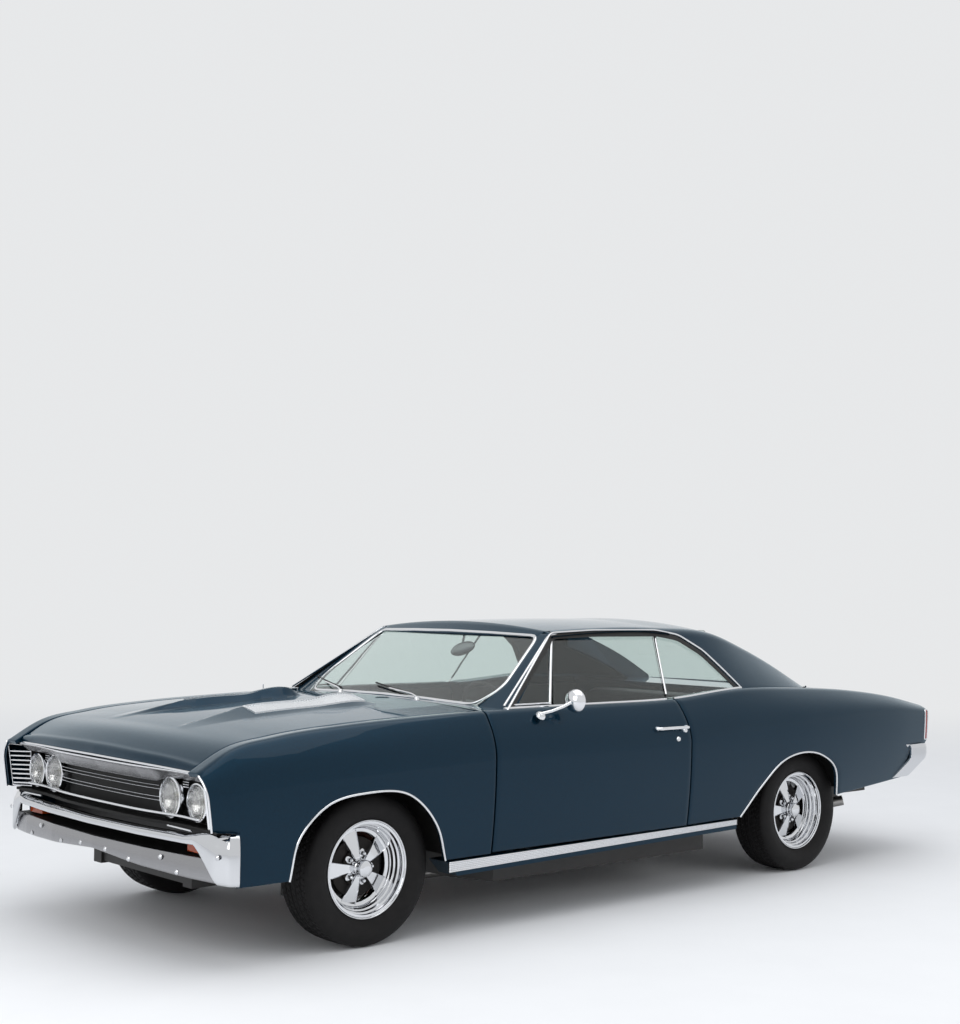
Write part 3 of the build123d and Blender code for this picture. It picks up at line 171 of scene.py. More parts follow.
FLOOR_HALF, FLOOR_DROP, FLOOR_NEAR, FLOOR_FAR = 40.0, 0.001, 4.5, 14.0
floor_mesh = bpy.data.meshes.new("floor")
floor_corners = [(x * FLOOR_HALF, y * FLOOR_HALF, -FLOOR_DROP)
                 for x, y in ((-1, -1), (1, -1), (1, 1), (-1, 1))]
floor_mesh.from_pydata(floor_corners, [], [(0, 1, 2, 3)])
floor = bpy.data.objects.new("studio_floor", floor_mesh)
scene.collection.objects.link(floor)
floor_paint, tree, shader = new_material("studio_floor", {"Roughness": 0.75})
mottled(tree, shader, 3.0, 4.0, (0.83, 0.84, 0.85), (0.87, 0.88, 0.89))
away = linked(tree, "ShaderNodeVectorMath", {0: object_place(tree)}, operation="LENGTH")
far = linked(tree, "ShaderNodeMapRange", {"Value": away.outputs["Value"], "From Min": FLOOR_NEAR,
                                          "From Max": FLOOR_FAR},
             interpolation_type="SMOOTHSTEP")
rays = linked(tree, "ShaderNodeLightPath")
seen = linked(tree, "ShaderNodeMath", {0: rays.outputs["Is Camera Ray"], 1: rays.outputs["Is Glossy Ray"]},
              operation="MAXIMUM")
seen = linked(tree, "ShaderNodeMath", {0: seen.outputs[0], 1: far.outputs[0]}, operation="MULTIPLY")
glow = linked(tree, "ShaderNodeEmission", {"Color": PALE, "Strength": 1.0})
mixed = linked(tree, "ShaderNodeMixShader", {0: seen.outputs[0], 1: shader.outputs[0], 2: glow.outputs[0]})
tree.links.new(mixed.outputs[0], tree.nodes["Material Output"].inputs["Surface"])
floor_mesh.materials.append(floor_paint)

# The road wheels: chromed five-spoke wheels in black radial tyres. Each is turned from its profile
# about the axle. The rim is deep and stepped, and the cast spokes stand well inside it, round a domed cap.
FRONT_AXLE_X, REAR_AXLE_X, WHEEL_Y, HUB_Z = 1.652, -1.269, 0.7365, 0.322
TREAD_HALF, TREAD_GROOVES, GROOVE_PITCH, TREAD_BLOCKS = 0.084, 4, 0.035, 72
SPOKES, SPOKE_START, SPOKE_HUB, SPOKE_OUT, LUG_CIRCLE = 5, 0.32, 0.026, 0.152, 0.0603


def unit(vectors):
    """The same vectors at length one."""
    return vectors / np.maximum(np.linalg.norm(vectors, axis=-1, keepdims=True), 1e-12)


def quads(n, m, ring_u=False, ring_v=False):
    """Corner numbers of the faces of an n by m grid, joined end to start where asked."""
    i = np.arange(n if ring_u else n - 1)[:, None]
    j = np.arange(m if ring_v else m - 1)[None]
    i_next, j_next = (i + 1) % n, (j + 1) % m
    return np.stack(np.broadcast_arrays(i * m + j, i_next * m + j, i_next * m + j_next, i * m + j_next),
                    -1).reshape(-1, 4)


def joined(sheets):
    """Several sheets as one array of points and one of faces. A sheet is a grid of points, or a tuple
    of points and faces."""
    points, faces, start = [], [], 0
    for sheet in sheets:
        grid, corners = sheet if isinstance(sheet, tuple) else (sheet, quads(*sheet.shape[:2]))
        points.append(np.asarray(grid, float).reshape(-1, 3))
        faces.append(np.asarray(corners) + start)
        start += len(points[-1])
    return np.concatenate(points), np.concatenate(faces)


def piece(name, sheets, material, body, replaces=(), crease=38, weld=2e-5):
    """One mesh of several sheets. Edges that meet are joined, and those that turn by more than the
    crease angle stay sharp."""
    points, faces = joined(sheets)
    mesh = bpy.data.meshes.new(name)
    mesh.from_pydata(points.tolist(), [], faces.tolist())
    welded = bmesh.new()
    welded.from_mesh(mesh)
    bmesh.ops.remove_doubles(welded, verts=welded.verts, dist=weld)
    bmesh.ops.dissolve_degenerate(welded, edges=welded.edges, dist=weld / 4)
    welded.to_mesh(mesh)
    welded.free()
    mesh.shade_smooth()
    mesh.set_sharp_from_angle(angle=math.radians(crease))
    mesh.materials.append(material)
    made = bpy.data.objects.new(name, mesh)
    scene.collection.objects.link(made)
    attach(made, body)
    if replaces:
        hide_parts(*replaces)
    return made


def turned(profile, count=96, closed=False):
    """A profile of (radius, distance outwards) carried round the axle: x = r cos a, z = r sin a."""
    profile = np.asarray(profile, float)
    angle = np.linspace(0, 2 * np.pi, count, endpoint=False)[:, None]
    radius, outwards = profile[None, :, 0], profile[None, :, 1]
    grid = np.stack([radius * np.cos(angle), np.broadcast_to(outwards, (count, len(profile))),
                     radius * np.sin(angle)], -1)
    return grid, quads(count, len(profile), ring_u=True, ring_v=closed)


def bent(t, start, corner, end):
    """A short curve: start (1 - t)^2 + corner 2 t (1 - t) + end t^2."""
    return start * (1 - t) ** 2 + corner * 2 * t * (1 - t) + end * t**2


def rounded(points, radius, steps=4):
    """A broken line with each inner corner replaced by a short curve through its two edges."""
    points = np.asarray(points, float)
    made = [points[:1]]
    t = np.linspace(0, 1, steps + 1)[:, None]
    for before, corner, after in zip(points, points[1:], points[2:]):
        into, out = before - corner, after - corner
        into *= min(radius, np.linalg.norm(into) * 0.45) / np.linalg.norm(into)
        out *= min(radius, np.linalg.norm(out) * 0.45) / np.linalg.norm(out)
        made.append(bent(t, corner + into, corner, corner + out))
    return np.concatenate(made + [points[-1:]])


def raised(tree, shader, height, strength, distance):
    """The shader's normal, tilted by a height that changes over the surface."""
    bump = linked(tree, "ShaderNodeBump", {"Height": height, "Strength": strength, "Distance": distance})
    tree.links.new(bump.outputs["Normal"], shader.inputs["Normal"])


rubber, tree, shader = new_material("tyre_rubber", {"Roughness": 0.62, "Specular IOR Level": 0.22})
mottled(tree, shader, 26.0, 6.0, (0.004, 0.004, 0.0045), (0.012, 0.011, 0.011))
pores = linked(tree, "ShaderNodeTexNoise", {"Vector": object_place(tree), "Scale": 900.0, "Detail": 2.0})
raised(tree, shader, pores.outputs["Fac"], 0.12, 0.0004)


def add_plating(name):
    """A shared effect: a faint haze that varies between two roughnesses, and soft waves in the metal."""
    group, entry, leave = shared_effect(name, {"Clear": "Float", "Hazy": "Float"},
                                        {"Roughness": "Float", "Waves": "Float"})
    place = object_place(group)
    haze = linked(group, "ShaderNodeTexNoise", {"Vector": place, "Scale": 18.0, "Detail": 5.0})
    rough = linked(group, "ShaderNodeMapRange", {"Value": haze.outputs["Fac"],
                                                 "To Min": entry.outputs["Clear"],
                                                 "To Max": entry.outputs["Hazy"]})
    wave = linked(group, "ShaderNodeTexNoise", {"Vector": place, "Scale": 9.0, "Detail": 1.0})
    group.links.new(rough.outputs[0], leave.inputs["Roughness"])
    group.links.new(wave.outputs["Fac"], leave.inputs["Waves"])
    return group


plating = add_plating("bright_plating")


def chrome(name, colour, roughness, waviness=0.0):
    """Bright plated metal: near white, almost no roughness, with a faint haze that varies."""
    material, tree, shader = new_material(name, {"Base Color": (*colour, 1), "Metallic": 1.0})
    metal = linked(tree, "ShaderNodeGroup", {"Clear": roughness * 0.6, "Hazy": roughness * 1.6},
                   node_tree=plating)
    tree.links.new(metal.outputs["Roughness"], shader.inputs["Roughness"])
    if waviness:
        raised(tree, shader, metal.outputs["Waves"], waviness, 0.002)
    return material


wheel_chrome = chrome("wheel_chrome", (0.72, 0.73, 0.75), 0.07)
bright_trim = chrome("bright_trim", (0.78, 0.79, 0.81), 0.08)

# The outline of half a tyre's section, from the bead over the shoulder to the middle of the tread
SIDEWALL = [(0.1905, 0.078), (0.2085, 0.086), (0.212, 0.0905), (0.222, 0.098), (0.236, 0.1075),
            (0.262, 0.1135), (0.284, 0.1118), (0.300, 0.1065), (0.3115, 0.0985),
            (0.3175, TREAD_HALF + 0.005), (0.3195, TREAD_HALF)]


def tyre_surface():
    """A tyre's grid round the axle. The tread's radius drops in four round grooves, and in slanted
    cuts between its blocks; two fine raised rings run round each sidewall."""
    side = rounded(SIDEWALL, 0.012, 3)
    for ring_radius in (0.226, 0.289):
        side[:, 1] += 0.0006 * (np.abs(side[:, 0] - ring_radius) < 0.002)
    tread_y = np.linspace(TREAD_HALF, -TREAD_HALF, 57)[1:-1]
    profile = np.concatenate([side, np.column_stack([HUB_Z - 0.0025 * (tread_y / TREAD_HALF) ** 2, tread_y]),
                              side[::-1] * (1, -1)])
    grid, faces = turned(profile, 288)
    y = grid[..., 1]
    radius = np.hypot(grid[..., 0], grid[..., 2])
    angle = np.arctan2(grid[..., 2], grid[..., 0])
    groove_at = (np.arange(TREAD_GROOVES) - (TREAD_GROOVES - 1) / 2) * GROOVE_PITCH
    from_groove = np.min(np.abs(y[..., None] - groove_at), -1)
    block = np.mod(angle * TREAD_BLOCKS / (2 * np.pi) + y * 16 * np.sign(np.sin(y * 90)), 1.0)
    on_tread = (np.abs(y) < TREAD_HALF + 0.004) & (radius > 0.316)
    depth = np.where(from_groove < 0.0035, 0.007, np.where(np.abs(block - 0.5) > 0.42, 0.0045, 0.0))
    scale = 1 - on_tread * depth / radius
    return grid * np.stack([scale, np.ones_like(scale), scale], -1), faces


def placed(sheet, x, side):
    """A wheel's sheet moved to its axle; on the right it is turned round, so that it faces outwards."""
    grid, faces = sheet
    return grid * (side, side, 1) + (x, side * WHEEL_Y, HUB_Z), faces


# The rim's section from the tyre side of the outer lip, over the lip and down the stepped barrel
RIM = [(0.190, 0.0845), (0.2070, 0.0855), (0.2072, 0.0915), (0.2035, 0.0925), (0.1995, 0.0885),
       (0.1990, 0.0800), (0.1925, 0.0770), (0.1900, 0.0650), (0.1820, 0.0620), (0.1795, 0.0480),
       (0.1725, 0.0450), (0.1695, 0.0310), (0.1650, 0.0270), (0.1635, 0.0195), (0.1500, 0.0180),
       (0.1470, 0.0150), (0.1465, -0.0050), (0.1700, -0.0500), (0.1800, -0.0800), (0.2000, -0.0915),
       (0.2070, -0.0900), (0.1895, -0.0845), (0.1895, 0.0)]


def spoke_sheets():
    """One cast spoke as a lofted bar: it widens from 20 mm at the hub to 80 mm at the rim, with a flat
    face between thin raised edges, and dishes back as it goes out."""
    share = np.linspace(0, 1, 9)[:, None]
    radius = SPOKE_HUB + (SPOKE_OUT - SPOKE_HUB) * share
    half = 0.010 + 0.030 * share
    face_y = 0.040 - 0.018 * share ** 1.5
    across_at = np.array([-1, -1, -0.93, -0.86, 0.86, 0.93, 1, 1])[None]
    height = np.array([-0.022, -0.004, 0.0, -0.0035, -0.0035, 0.0, -0.004, -0.022])[None]
    grid = np.stack([half * across_at, np.broadcast_to(face_y, (9, 8)) + height,
                     np.broadcast_to(radius, (9, 8))], -1)
    return grid[:, ::-1], quads(9, 8, ring_v=True)


def spun(sheet, angle):
    """A sheet turned about the axle by an angle."""
    grid, faces = sheet
    c, s = math.cos(angle), math.sin(angle)
    x, y, z = grid[..., 0], grid[..., 1], grid[..., 2]
    return np.stack([c * x + s * z, y, -s * x + c * z], -1), faces


# A wheel nut is a hexagon with a domed end; the washer under it is stretched across the spoke gap
NUT = [(0.0, 0.047), (0.005, 0.0465), (0.0085, 0.043), (0.0095, 0.040), (0.0095, 0.022), (0.0, 0.022)]
WASHER, WASHER_STRETCH = [(0.0, 0.0235), (0.012, 0.0235), (0.0135, 0.0225), (0.0135, 0.019)], 1.45
HUB = [(0.0, 0.0862), (0.014, 0.0858), (0.0255, 0.0838), (0.0330, 0.0795), (0.0360, 0.0740),
       (0.0360, 0.0520), (0.0385, 0.0490), (0.0395, 0.0400), (0.0395, 0.0060), (0.0, 0.0060)]
CENTRE_PLATE = [(0.0, 0.0215), (0.078, 0.0205), (0.0805, 0.0180), (0.0805, 0.0060), (0.0, 0.0060)]
DRUM = [(0.0, 0.0090), (0.118, 0.0090), (0.1265, 0.0060), (0.1275, 0.0010), (0.1255, -0.0020),
        (0.1275, -0.0050), (0.1275, -0.0200), (0.1255, -0.0230), (0.1275, -0.0260), (0.1275, -0.0520),
        (0.0, -0.0520)]

drum_iron, tree, shader = new_material("brake_drum_iron", {"Metallic": 0.6, "Roughness": 0.55})
mottled(tree, shader, 40.0, 8.0, (0.006, 0.006, 0.0065), (0.022, 0.018, 0.016))

tyre = tyre_surface()
rim = turned(rounded(RIM, 0.0018, 2)[::-1], 128)
hub = turned(HUB[::-1], 64)
drum = turned(DRUM[::-1], 64)
plate = turned(CENTRE_PLATE[::-1], 48)
nut, washer = turned(NUT, 6), turned(WASHER, 24)
washer = (washer[0] * (1.0, 1.0, WASHER_STRETCH), washer[1])
for end, axle_x in (("front", FRONT_AXLE_X), ("rear", REAR_AXLE_X)):
    for hand, side in (("left", 1), ("right", -1)):
        spokes = [spun(spoke_sheets(), n * 2 * math.pi / SPOKES + SPOKE_START * side) for n in range(SPOKES)]
        nuts = [spun((grid + (0, 0, LUG_CIRCLE), faces),
                     (n + 0.5) * 2 * math.pi / SPOKES + SPOKE_START * side)
                for n in range(SPOKES) for grid, faces in (nut, washer)]
        body = f"wheel_{end}_{hand}"
        piece(f"tyre_tread_{end}_{hand}", [placed(tyre, axle_x, side)], rubber, body,
              [f"tyre_{end}_{hand}"], crease=30)
        piece(f"five_spoke_wheel_{end}_{hand}", [placed(s, axle_x, side) for s in [rim, hub, *spokes, *nuts]],
              wheel_chrome, body, [body], crease=30)
        piece(f"brake_drum_{end}_{hand}", [placed(s, axle_x, side) for s in (drum, plate)], drum_iron, body)

# The painted body. Its sides are pressed steel: from the widest line, the waist, each section falls
# away to a crown above and a sill below. Every panel's edges are rolled over and turned back.
# Stations along the car. Columns: x, crown_y, crown_z, waist_y, waist_z, sill_y, sill_z
SIDE = np.array([
    (2.500, 0.846, 0.772, 0.902, 0.680, 0.882, 0.330), (2.330, 0.850, 0.868, 0.925, 0.700, 0.902, 0.330),
    (2.125, 0.855, 0.907, 0.940, 0.715, 0.915, 0.330), (1.780, 0.860, 0.937, 0.955, 0.730, 0.925, 0.332),
    (1.410, 0.865, 0.952, 0.957, 0.742, 0.927, 0.334), (1.048, 0.872, 0.961, 0.957, 0.752, 0.927, 0.336),
    (0.400, 0.878, 0.962, 0.958, 0.757, 0.927, 0.338), (-0.250, 0.880, 0.966, 0.958, 0.766, 0.927, 0.342),
    (-0.780, 0.868, 1.000, 0.962, 0.792, 0.927, 0.350), (-1.270, 0.850, 0.985, 0.966, 0.818, 0.930, 0.380),
    (-1.730, 0.843, 0.955, 0.955, 0.832, 0.912, 0.415), (-2.116, 0.838, 0.907, 0.930, 0.826, 0.890, 0.440),
    (-2.420, 0.826, 0.848, 0.896, 0.806, 0.860, 0.462),
])[::-1]
CROWN_Y, CROWN_Z, WAIST_Y, WAIST_Z = range(1, 5)
HEM_RADIUS, HEM_RETURN, CROWN_RADIUS = 0.004, 0.014, 0.024
FRONT_FLANGE, REAR_FLANGE, FLANGE_DROP = 0.078, 0.092, 0.004
DOOR_FRONT_X, DOOR_REAR_X, DOOR_BOTTOM_Z = 1.040, -0.250, 0.343
FRONT_ARCH = [(2.1095, 0.335), (2.078, 0.500), (1.955, 0.622), (1.750, 0.662), (1.535, 0.638),
              (1.372, 0.490), (1.3105, 0.336)]
REAR_ARCH = [(-0.662, 0.349), (-0.815, 0.500), (-0.990, 0.622), (-1.150, 0.652), (-1.310, 0.628),
             (-1.445, 0.545), (-1.486, 0.397)]


def along(table, column, x):
    """A column of a table at any x: a cubic between rows, whose slope at a row is the mean of the
    slopes on its two sides, each weighted by the other's length."""
    table = np.asarray(table, float)
    at, value = table[:, 0], table[:, column]
    x = np.clip(x, at[0], at[-1])
    step = np.diff(at)
    rise = np.diff(value) / step
    slope = np.concatenate([rise[:1], (rise[:-1] * step[1:] + rise[1:] * step[:-1]) / (step[1:] + step[:-1]),
                            rise[-1:]])
    i = np.clip(np.searchsorted(at, x, side="right") - 1, 0, len(at) - 2)
    h = step[i]
    t = (x - at[i]) / h
    return ((2 * t**3 - 3 * t**2 + 1) * value[i] + (t**3 - 2 * t**2 + t) * h * slope[i]
            + (3 * t**2 - 2 * t**3) * value[i + 1] + (t**3 - t**2) * h * slope[i + 1])


def spaced(line, count):
    """Evenly spaced points on a line, measured along it."""
    length = np.concatenate([[0], np.cumsum(np.linalg.norm(np.diff(line, axis=0), axis=1))])
    at = np.linspace(0, length[-1], count)
    return np.stack([np.interp(at, length, column) for column in line.T], -1)


def smooth_path(points, count):
    """Evenly spaced points on a smooth curve through the given ones, measured along its chords."""
    points = np.asarray(points, float)
    chord = np.concatenate([[0], np.cumsum(np.linalg.norm(np.diff(points, axis=0), axis=1))])
    table = np.column_stack([chord, points])
    fine = np.linspace(0, chord[-1], count * 6)
    return spaced(np.stack([along(table, c, fine) for c in range(1, table.shape[1])], -1), count)


def body_y(x, z):
    """Half width of the body: from the waist it falls away as a square, up to the crown or down to
    the sill."""
    crown_y, crown_z, waist_y, waist_z, sill_y, sill_z = (along(SIDE, c, x) for c in range(1, 7))
    up = np.clip((z - waist_z) / (crown_z - waist_z), 0, None)
    down = np.clip((waist_z - z) / (waist_z - sill_z), 0, None)
    return waist_y - (waist_y - crown_y) * up**2 - (waist_y - sill_y) * down**2


def on_side(x, z):
    """Points of the left body side."""
    return np.stack([x, body_y(x, z), z], -1)


def hemmed(sheets, radius=HEM_RADIUS, depth=HEM_RETURN):
    """Sheets as one skin, whose free edges roll round a quarter circle and turn back inside the old
    outline. At an edge point, out is at right angles to the edge and the skin, and longer at a corner."""
    points, faces = joined(sheets)
    _, same = np.unique(np.round(points / 1e-5).astype(np.int64), axis=0, return_inverse=True)
    same = same.reshape(-1)
    count = same.max() + 1
    place = np.zeros((count, 3))
    place[same] = points
    start, end = same[faces].reshape(-1), same[np.roll(faces, -1, axis=1)].reshape(-1)
    face_normal = np.cross(points[faces[:, 2]] - points[faces[:, 0]],
                           points[faces[:, 3]] - points[faces[:, 1]])
    normal = np.zeros((count, 3))
    np.add.at(normal, same[faces].reshape(-1), np.repeat(face_normal, 4, axis=0))
    normal = unit(normal)
    free = (start != end) & ~np.isin(start * count + end, end * count + start)
    start, end = start[free], end[free]
    side_way = unit(np.cross(place[end] - place[start], normal[start] + normal[end]))
    out = np.zeros((count, 3))
    np.add.at(out, start, side_way)
    np.add.at(out, end, side_way)
    rim = np.unique(np.concatenate([start, end]))
    number = np.zeros(count, int)
    number[rim] = np.arange(len(rim))
    length = np.linalg.norm(out[rim], axis=-1, keepdims=True)
    out = out[rim] / length * np.minimum(2 / length, 1.4)
    turn = np.radians([0, 30, 60, 90, 90])[:, None, None]
    drop = radius * (1 - np.cos(turn)) + np.array([0, 0, 0, 0, depth])[:, None, None]
    rows = place[rim] + out * radius * (np.sin(turn) - 1) - normal[rim] * drop
    place[rim] = rows[0]
    row = len(points) + (np.arange(len(turn))[:, None]) * len(rim)
    a, b = row + number[start], row + number[end]
    strips = np.stack([b[:-1], a[:-1], a[1:], b[1:]], -1).reshape(-1, 4)
    return [(np.concatenate([place[same], rows.reshape(-1, 3)]), np.concatenate([faces, strips]))]


def swept_between(inner, outer, rows):
    """A grid of straight lines from each point of one path to the same point of the other."""
    share = np.linspace(0, 1, rows)[:, None]
    return inner[:, None] * (1 - share) + outer[:, None] * share


def corner_path(corners, shares, count):
    """Points on a broken line whose corners fall at the given shares of the count."""
    t = np.linspace(0, 1, count)
    return np.stack([np.interp(t, shares, values) for values in np.transpose(corners)], -1)


def crown_and_flange(x, waist_row, flange, rows=14, drop=FLANGE_DROP):
    """The upper side from the waist to the crown, round it, and in over the flange: one row per x."""
    crown_y, crown_z, waist_y, waist_z = (along(SIDE, c, x) for c in (CROWN_Y, CROWN_Z, WAIST_Y, WAIST_Z))
    fall = 2 * (waist_y - crown_y) / (crown_z - waist_z)
    down = unit(np.stack([0 * x, fall, -1 + 0 * x], -1))
    crown = np.stack([x, crown_y, crown_z], -1)
    inner = np.stack([x, crown_y - flange, crown_z - drop], -1)
    inwards = unit(inner - crown)
    t = np.linspace(0, 1, 6)[1:, None, None]
    start, end = crown + down * CROWN_RADIUS, crown + inwards * CROWN_RADIUS
    roll = bent(t, start, crown, end)
    share = np.linspace(0, 1, rows)[:, None]
    z = waist_z * (1 - share) + start[:, 2] * share
    side = on_side(np.broadcast_to(x, z.shape), z)
    side[0] = waist_row
    side[-1] = start
    top = end + (inner - end) * np.linspace(0, 1, 5)[1:, None, None]
    return np.concatenate([side, roll, top]).transpose(1, 0, 2)


def mirror(sheets):
    """The same sheets on the other side of the car, still facing outwards."""
    points, faces = joined(sheets)
    return [(points * (1, -1, 1), faces[:, ::-1])]


def faced(grid, way=(0, 1, 0)):
    """The grid, turned over if its middle faces against the given way."""
    i, j = grid.shape[0] // 2, grid.shape[1] // 2
    normal = np.cross(grid[i + 1, j] - grid[i - 1, j], grid[i, j + 1] - grid[i, j - 1])
    return grid if np.dot(normal, way) > 0 else grid[::-1]


def add_flakes(name):
    """A shared effect: tiny metal flakes in paint, each a cell that tilts the normal its own way."""
    group, entry, leave = shared_effect(name, {"Scale": "Float", "Tilt": "Float"},
                                        {"Normal": "Vector", "Glint": "Float"})
    cells = linked(group, "ShaderNodeTexVoronoi", {"Vector": object_place(group),
                                                   "Scale": entry.outputs["Scale"]})
    tilt = linked(group, "ShaderNodeVectorMath", {0: cells.outputs["Color"], 1: (0.5, 0.5, 0.5)},
                  operation="SUBTRACT")
    tilt = linked(group, "ShaderNodeVectorMath", {0: tilt.outputs[0], "Scale": entry.outputs["Tilt"]},
                  operation="SCALE")
    surface = linked(group, "ShaderNodeNewGeometry")
    normal = linked(group, "ShaderNodeVectorMath", {0: surface.outputs["Normal"], 1: tilt.outputs[0]},
                    operation="ADD")
    normal = linked(group, "ShaderNodeVectorMath", {0: normal.outputs[0]}, operation="NORMALIZE")
    glint = linked(group, "ShaderNodeSeparateColor", {0: cells.outputs["Color"]})
    group.links.new(normal.outputs[0], leave.inputs["Normal"])
    group.links.new(glint.outputs[0], leave.inputs["Glint"])
    return group


flakes = add_flakes("metal_flakes")
FLAKE_SCALE, FLAKE_TILT = 1400.0, 0.16


def metallic_paint(name, deep, light):
    """Dark metallic paint under clear lacquer: flakes vary its shade and tilt its lower layer alone."""
    # The lacquer's light blue Coat Tint stands in for the sky-blue sheen on the paint: a painted reflection,
    # spread over the whole paint.
    material, tree, shader = new_material(name, {
        "Metallic": 0.75, "Roughness": 0.34, "Specular IOR Level": 0.15,
        "Coat Weight": 1.0, "Coat Roughness": 0.02, "Coat IOR": 1.24, "Coat Tint": (0.72, 0.90, 1.0, 1)})
    flake = linked(tree, "ShaderNodeGroup", {"Scale": FLAKE_SCALE, "Tilt": FLAKE_TILT}, node_tree=flakes)
    tint = linked(tree, "ShaderNodeMix", {0: flake.outputs["Glint"], 6: (*deep, 1), 7: (*light, 1)},
                  data_type="RGBA")
    tree.links.new(tint.outputs[2], shader.inputs["Base Color"])
    tree.links.new(flake.outputs["Normal"], shader.inputs["Normal"])
    return material


paint = metallic_paint("dark_teal_metallic", (0.001, 0.013, 0.024), (0.003, 0.030, 0.053))

# The front fenders, the doors and the rear quarters. Below the waist a fender or quarter is drawn round
# its wheel opening; above it, the sheet rolls over the crown into a flange beside the hood or trunk lid.
NOSE_TOP_X, TAIL_TOP_X, ARCH_POINTS = 2.4945, -2.416, 121
DOOR_EDGE = [(0.343, -0.250), (0.745, -0.250), (0.860, -0.230), (1.010, -0.203)]


def door_rear_x(z):
    """The door's rear edge: upright below the waist, and leaning forwards to the window above it."""
    return along(DOOR_EDGE, 1, z)


def lean_edge(grid, waist_x, rule):
    """Upper sheet whose one end leans with height: each column moves by its share of the end's own move."""
    low, high = waist_x.min(), waist_x.max()
    share, edge = rule
    moved = grid.copy()
    reach = edge(grid[..., 2])
    moved[..., 0] += (reach - reach[:, :1]) * share((waist_x - low) / (high - low))[:, None]
    return moved


def side_panel(arch, corners, columns, flange, rule):
    """A fan of lines from a wheel opening to the panel's outline, whose given columns run along the
    waist, and the crown above those."""
    shares = np.array([0, *columns]) / (ARCH_POINTS - 1)
    outline = corner_path(corners, shares, ARCH_POINTS)
    arch = smooth_path(arch, ARCH_POINTS)
    first, last = rule[0]
    outline[first:last + 1, 1] = along(SIDE, WAIST_Z, outline[first:last + 1, 0])
    plan = swept_between(arch, outline, 20)
    lower = on_side(plan[..., 0], plan[..., 1])
    waist_x = outline[first:last + 1, 0]
    upper = crown_and_flange(waist_x, lower[first:last + 1, -1], flange)
    return [faced(lower), faced(lean_edge(upper, waist_x, rule[1:]))]


fender = side_panel(
    FRONT_ARCH, [(2.340, 0.332), (2.352, 0.553), (2.463, 0.562), (2.481, 0.682), (1.048, 0.752),
                 (1.048, 0.337)],
    [12, 18, 30, 92, 120], FRONT_FLANGE,
    ((30, 92), lambda share: share**4, lambda z: (z - 0.682).clip(0, 0.095) * (NOSE_TOP_X - 2.481) / 0.095))
quarter = side_panel(
    REAR_ARCH, [(-0.258, 0.345), (-0.258, 0.766), (TAIL_TOP_X, 0.806), (TAIL_TOP_X, 0.640), (-2.215, 0.447)],
    [24, 92, 104, 120], REAR_FLANGE,
    ((24, 92), lambda share: share**3, door_rear_x))

door_u = np.linspace(0, 1, 49)
door_x = DOOR_REAR_X + (DOOR_FRONT_X - DOOR_REAR_X) * door_u
door_waist_z = along(SIDE, WAIST_Z, door_x)
door_rows = DOOR_BOTTOM_Z + (door_waist_z[:, None] - DOOR_BOTTOM_Z) * np.linspace(0, 1, 16)
door_lower = on_side(np.broadcast_to(door_x[:, None], door_rows.shape), door_rows)
door_upper = lean_edge(crown_and_flange(door_x, door_lower[:, -1], 0.030, drop=0.001), door_x,
                       (lambda share: (1 - share) ** 2, door_rear_x))
door = [faced(door_lower), faced(door_upper)]

for hand, turn in (("left", list), ("right", mirror)):
    piece(f"fender_skin_{hand}", turn(hemmed(fender)), paint, "body", [f"fender_{hand}"])
    piece(f"quarter_skin_{hand}", turn(hemmed(quarter)), paint, "body", [f"quarter_{hand}"])
    piece(f"door_skin_{hand}", turn(hemmed(door, depth=0.070)), paint, f"door_{hand}",
          [f"door_{hand}"])

# The roof: thin pillars, a long turret and two wide sail panels that run down into the quarters and stand
# proud of the rear window between them. One section is swept from the windshield to the sails' feet.
# Columns: x, foot_y, rail_y, rail_z, centre_z
ROOF = np.array([
    (0.440, 0.925, 0.650, 1.297, 1.338), (0.150, 0.925, 0.652, 1.310, 1.344),
    (-0.350, 0.925, 0.652, 1.308, 1.346), (-0.800, 0.925, 0.645, 1.270, 1.331),
    (-1.050, 0.918, 0.628, 1.195, 1.262), (-1.300, 0.898, 0.612, 1.105, 1.150),
    (-1.570, 0.868, 0.622, 0.975, 0.985),
])[::-1]
ROOF_FOOT_Z, RAIL_CORNER, SAIL_INNER_Y, SAIL_END_X, ROOF_BREAK_X = 0.840, 0.036, 0.540, -1.566, -0.850
WINDOW_END_X = -0.764
WINDOW_EDGE = [(WINDOW_END_X, 1.003), (-0.690, 1.085), (-0.590, 1.185), (-0.455, 1.262), (-0.300, 1.284),
               (0.150, 1.288), (0.428, 1.274)]
SCREEN_TOP_X, SCREEN_FOOT_X, SCREEN_LEAN, SCREEN_RISE, PILLAR_WIDTH = 0.440, 0.975, 0.535, 0.381, 0.034


def roof_rail(x):
    """Foot, rail and crown heights of the roof's section at x."""
    return [along(ROOF, c, x) for c in range(1, 5)]


def roof_side(x, low_z, rows):
    """The roof's side at each x, from a lower limit up to the rail and round its corner."""
    foot_y, rail_y, rail_z, centre_z = (v[:, None, None] for v in roof_rail(x))
    base = np.concatenate([foot_y, np.full_like(foot_y, ROOF_FOOT_Z)], -1)
    rail = np.concatenate([rail_y, rail_z], -1)
    down = unit(base - rail)
    slope = 2 * (centre_z - rail_z) / rail_y
    inwards = unit(np.concatenate([-np.ones_like(slope), slope], -1))
    start, end = rail + down * RAIL_CORNER, rail + inwards * RAIL_CORNER
    low = rail + down * ((rail_z - low_z[:, None, None]) / -down[..., 1:])
    t = np.linspace(0, 1, rows)[None, :, None]
    wall = low * (1 - t) + start * t
    t = np.linspace(0, 1, 7)[None, 1:, None]
    section = np.concatenate([wall, bent(t, start, rail, end)], 1)
    return np.concatenate([np.broadcast_to(x[:, None, None], (*section.shape[:2], 1)), section], -1)


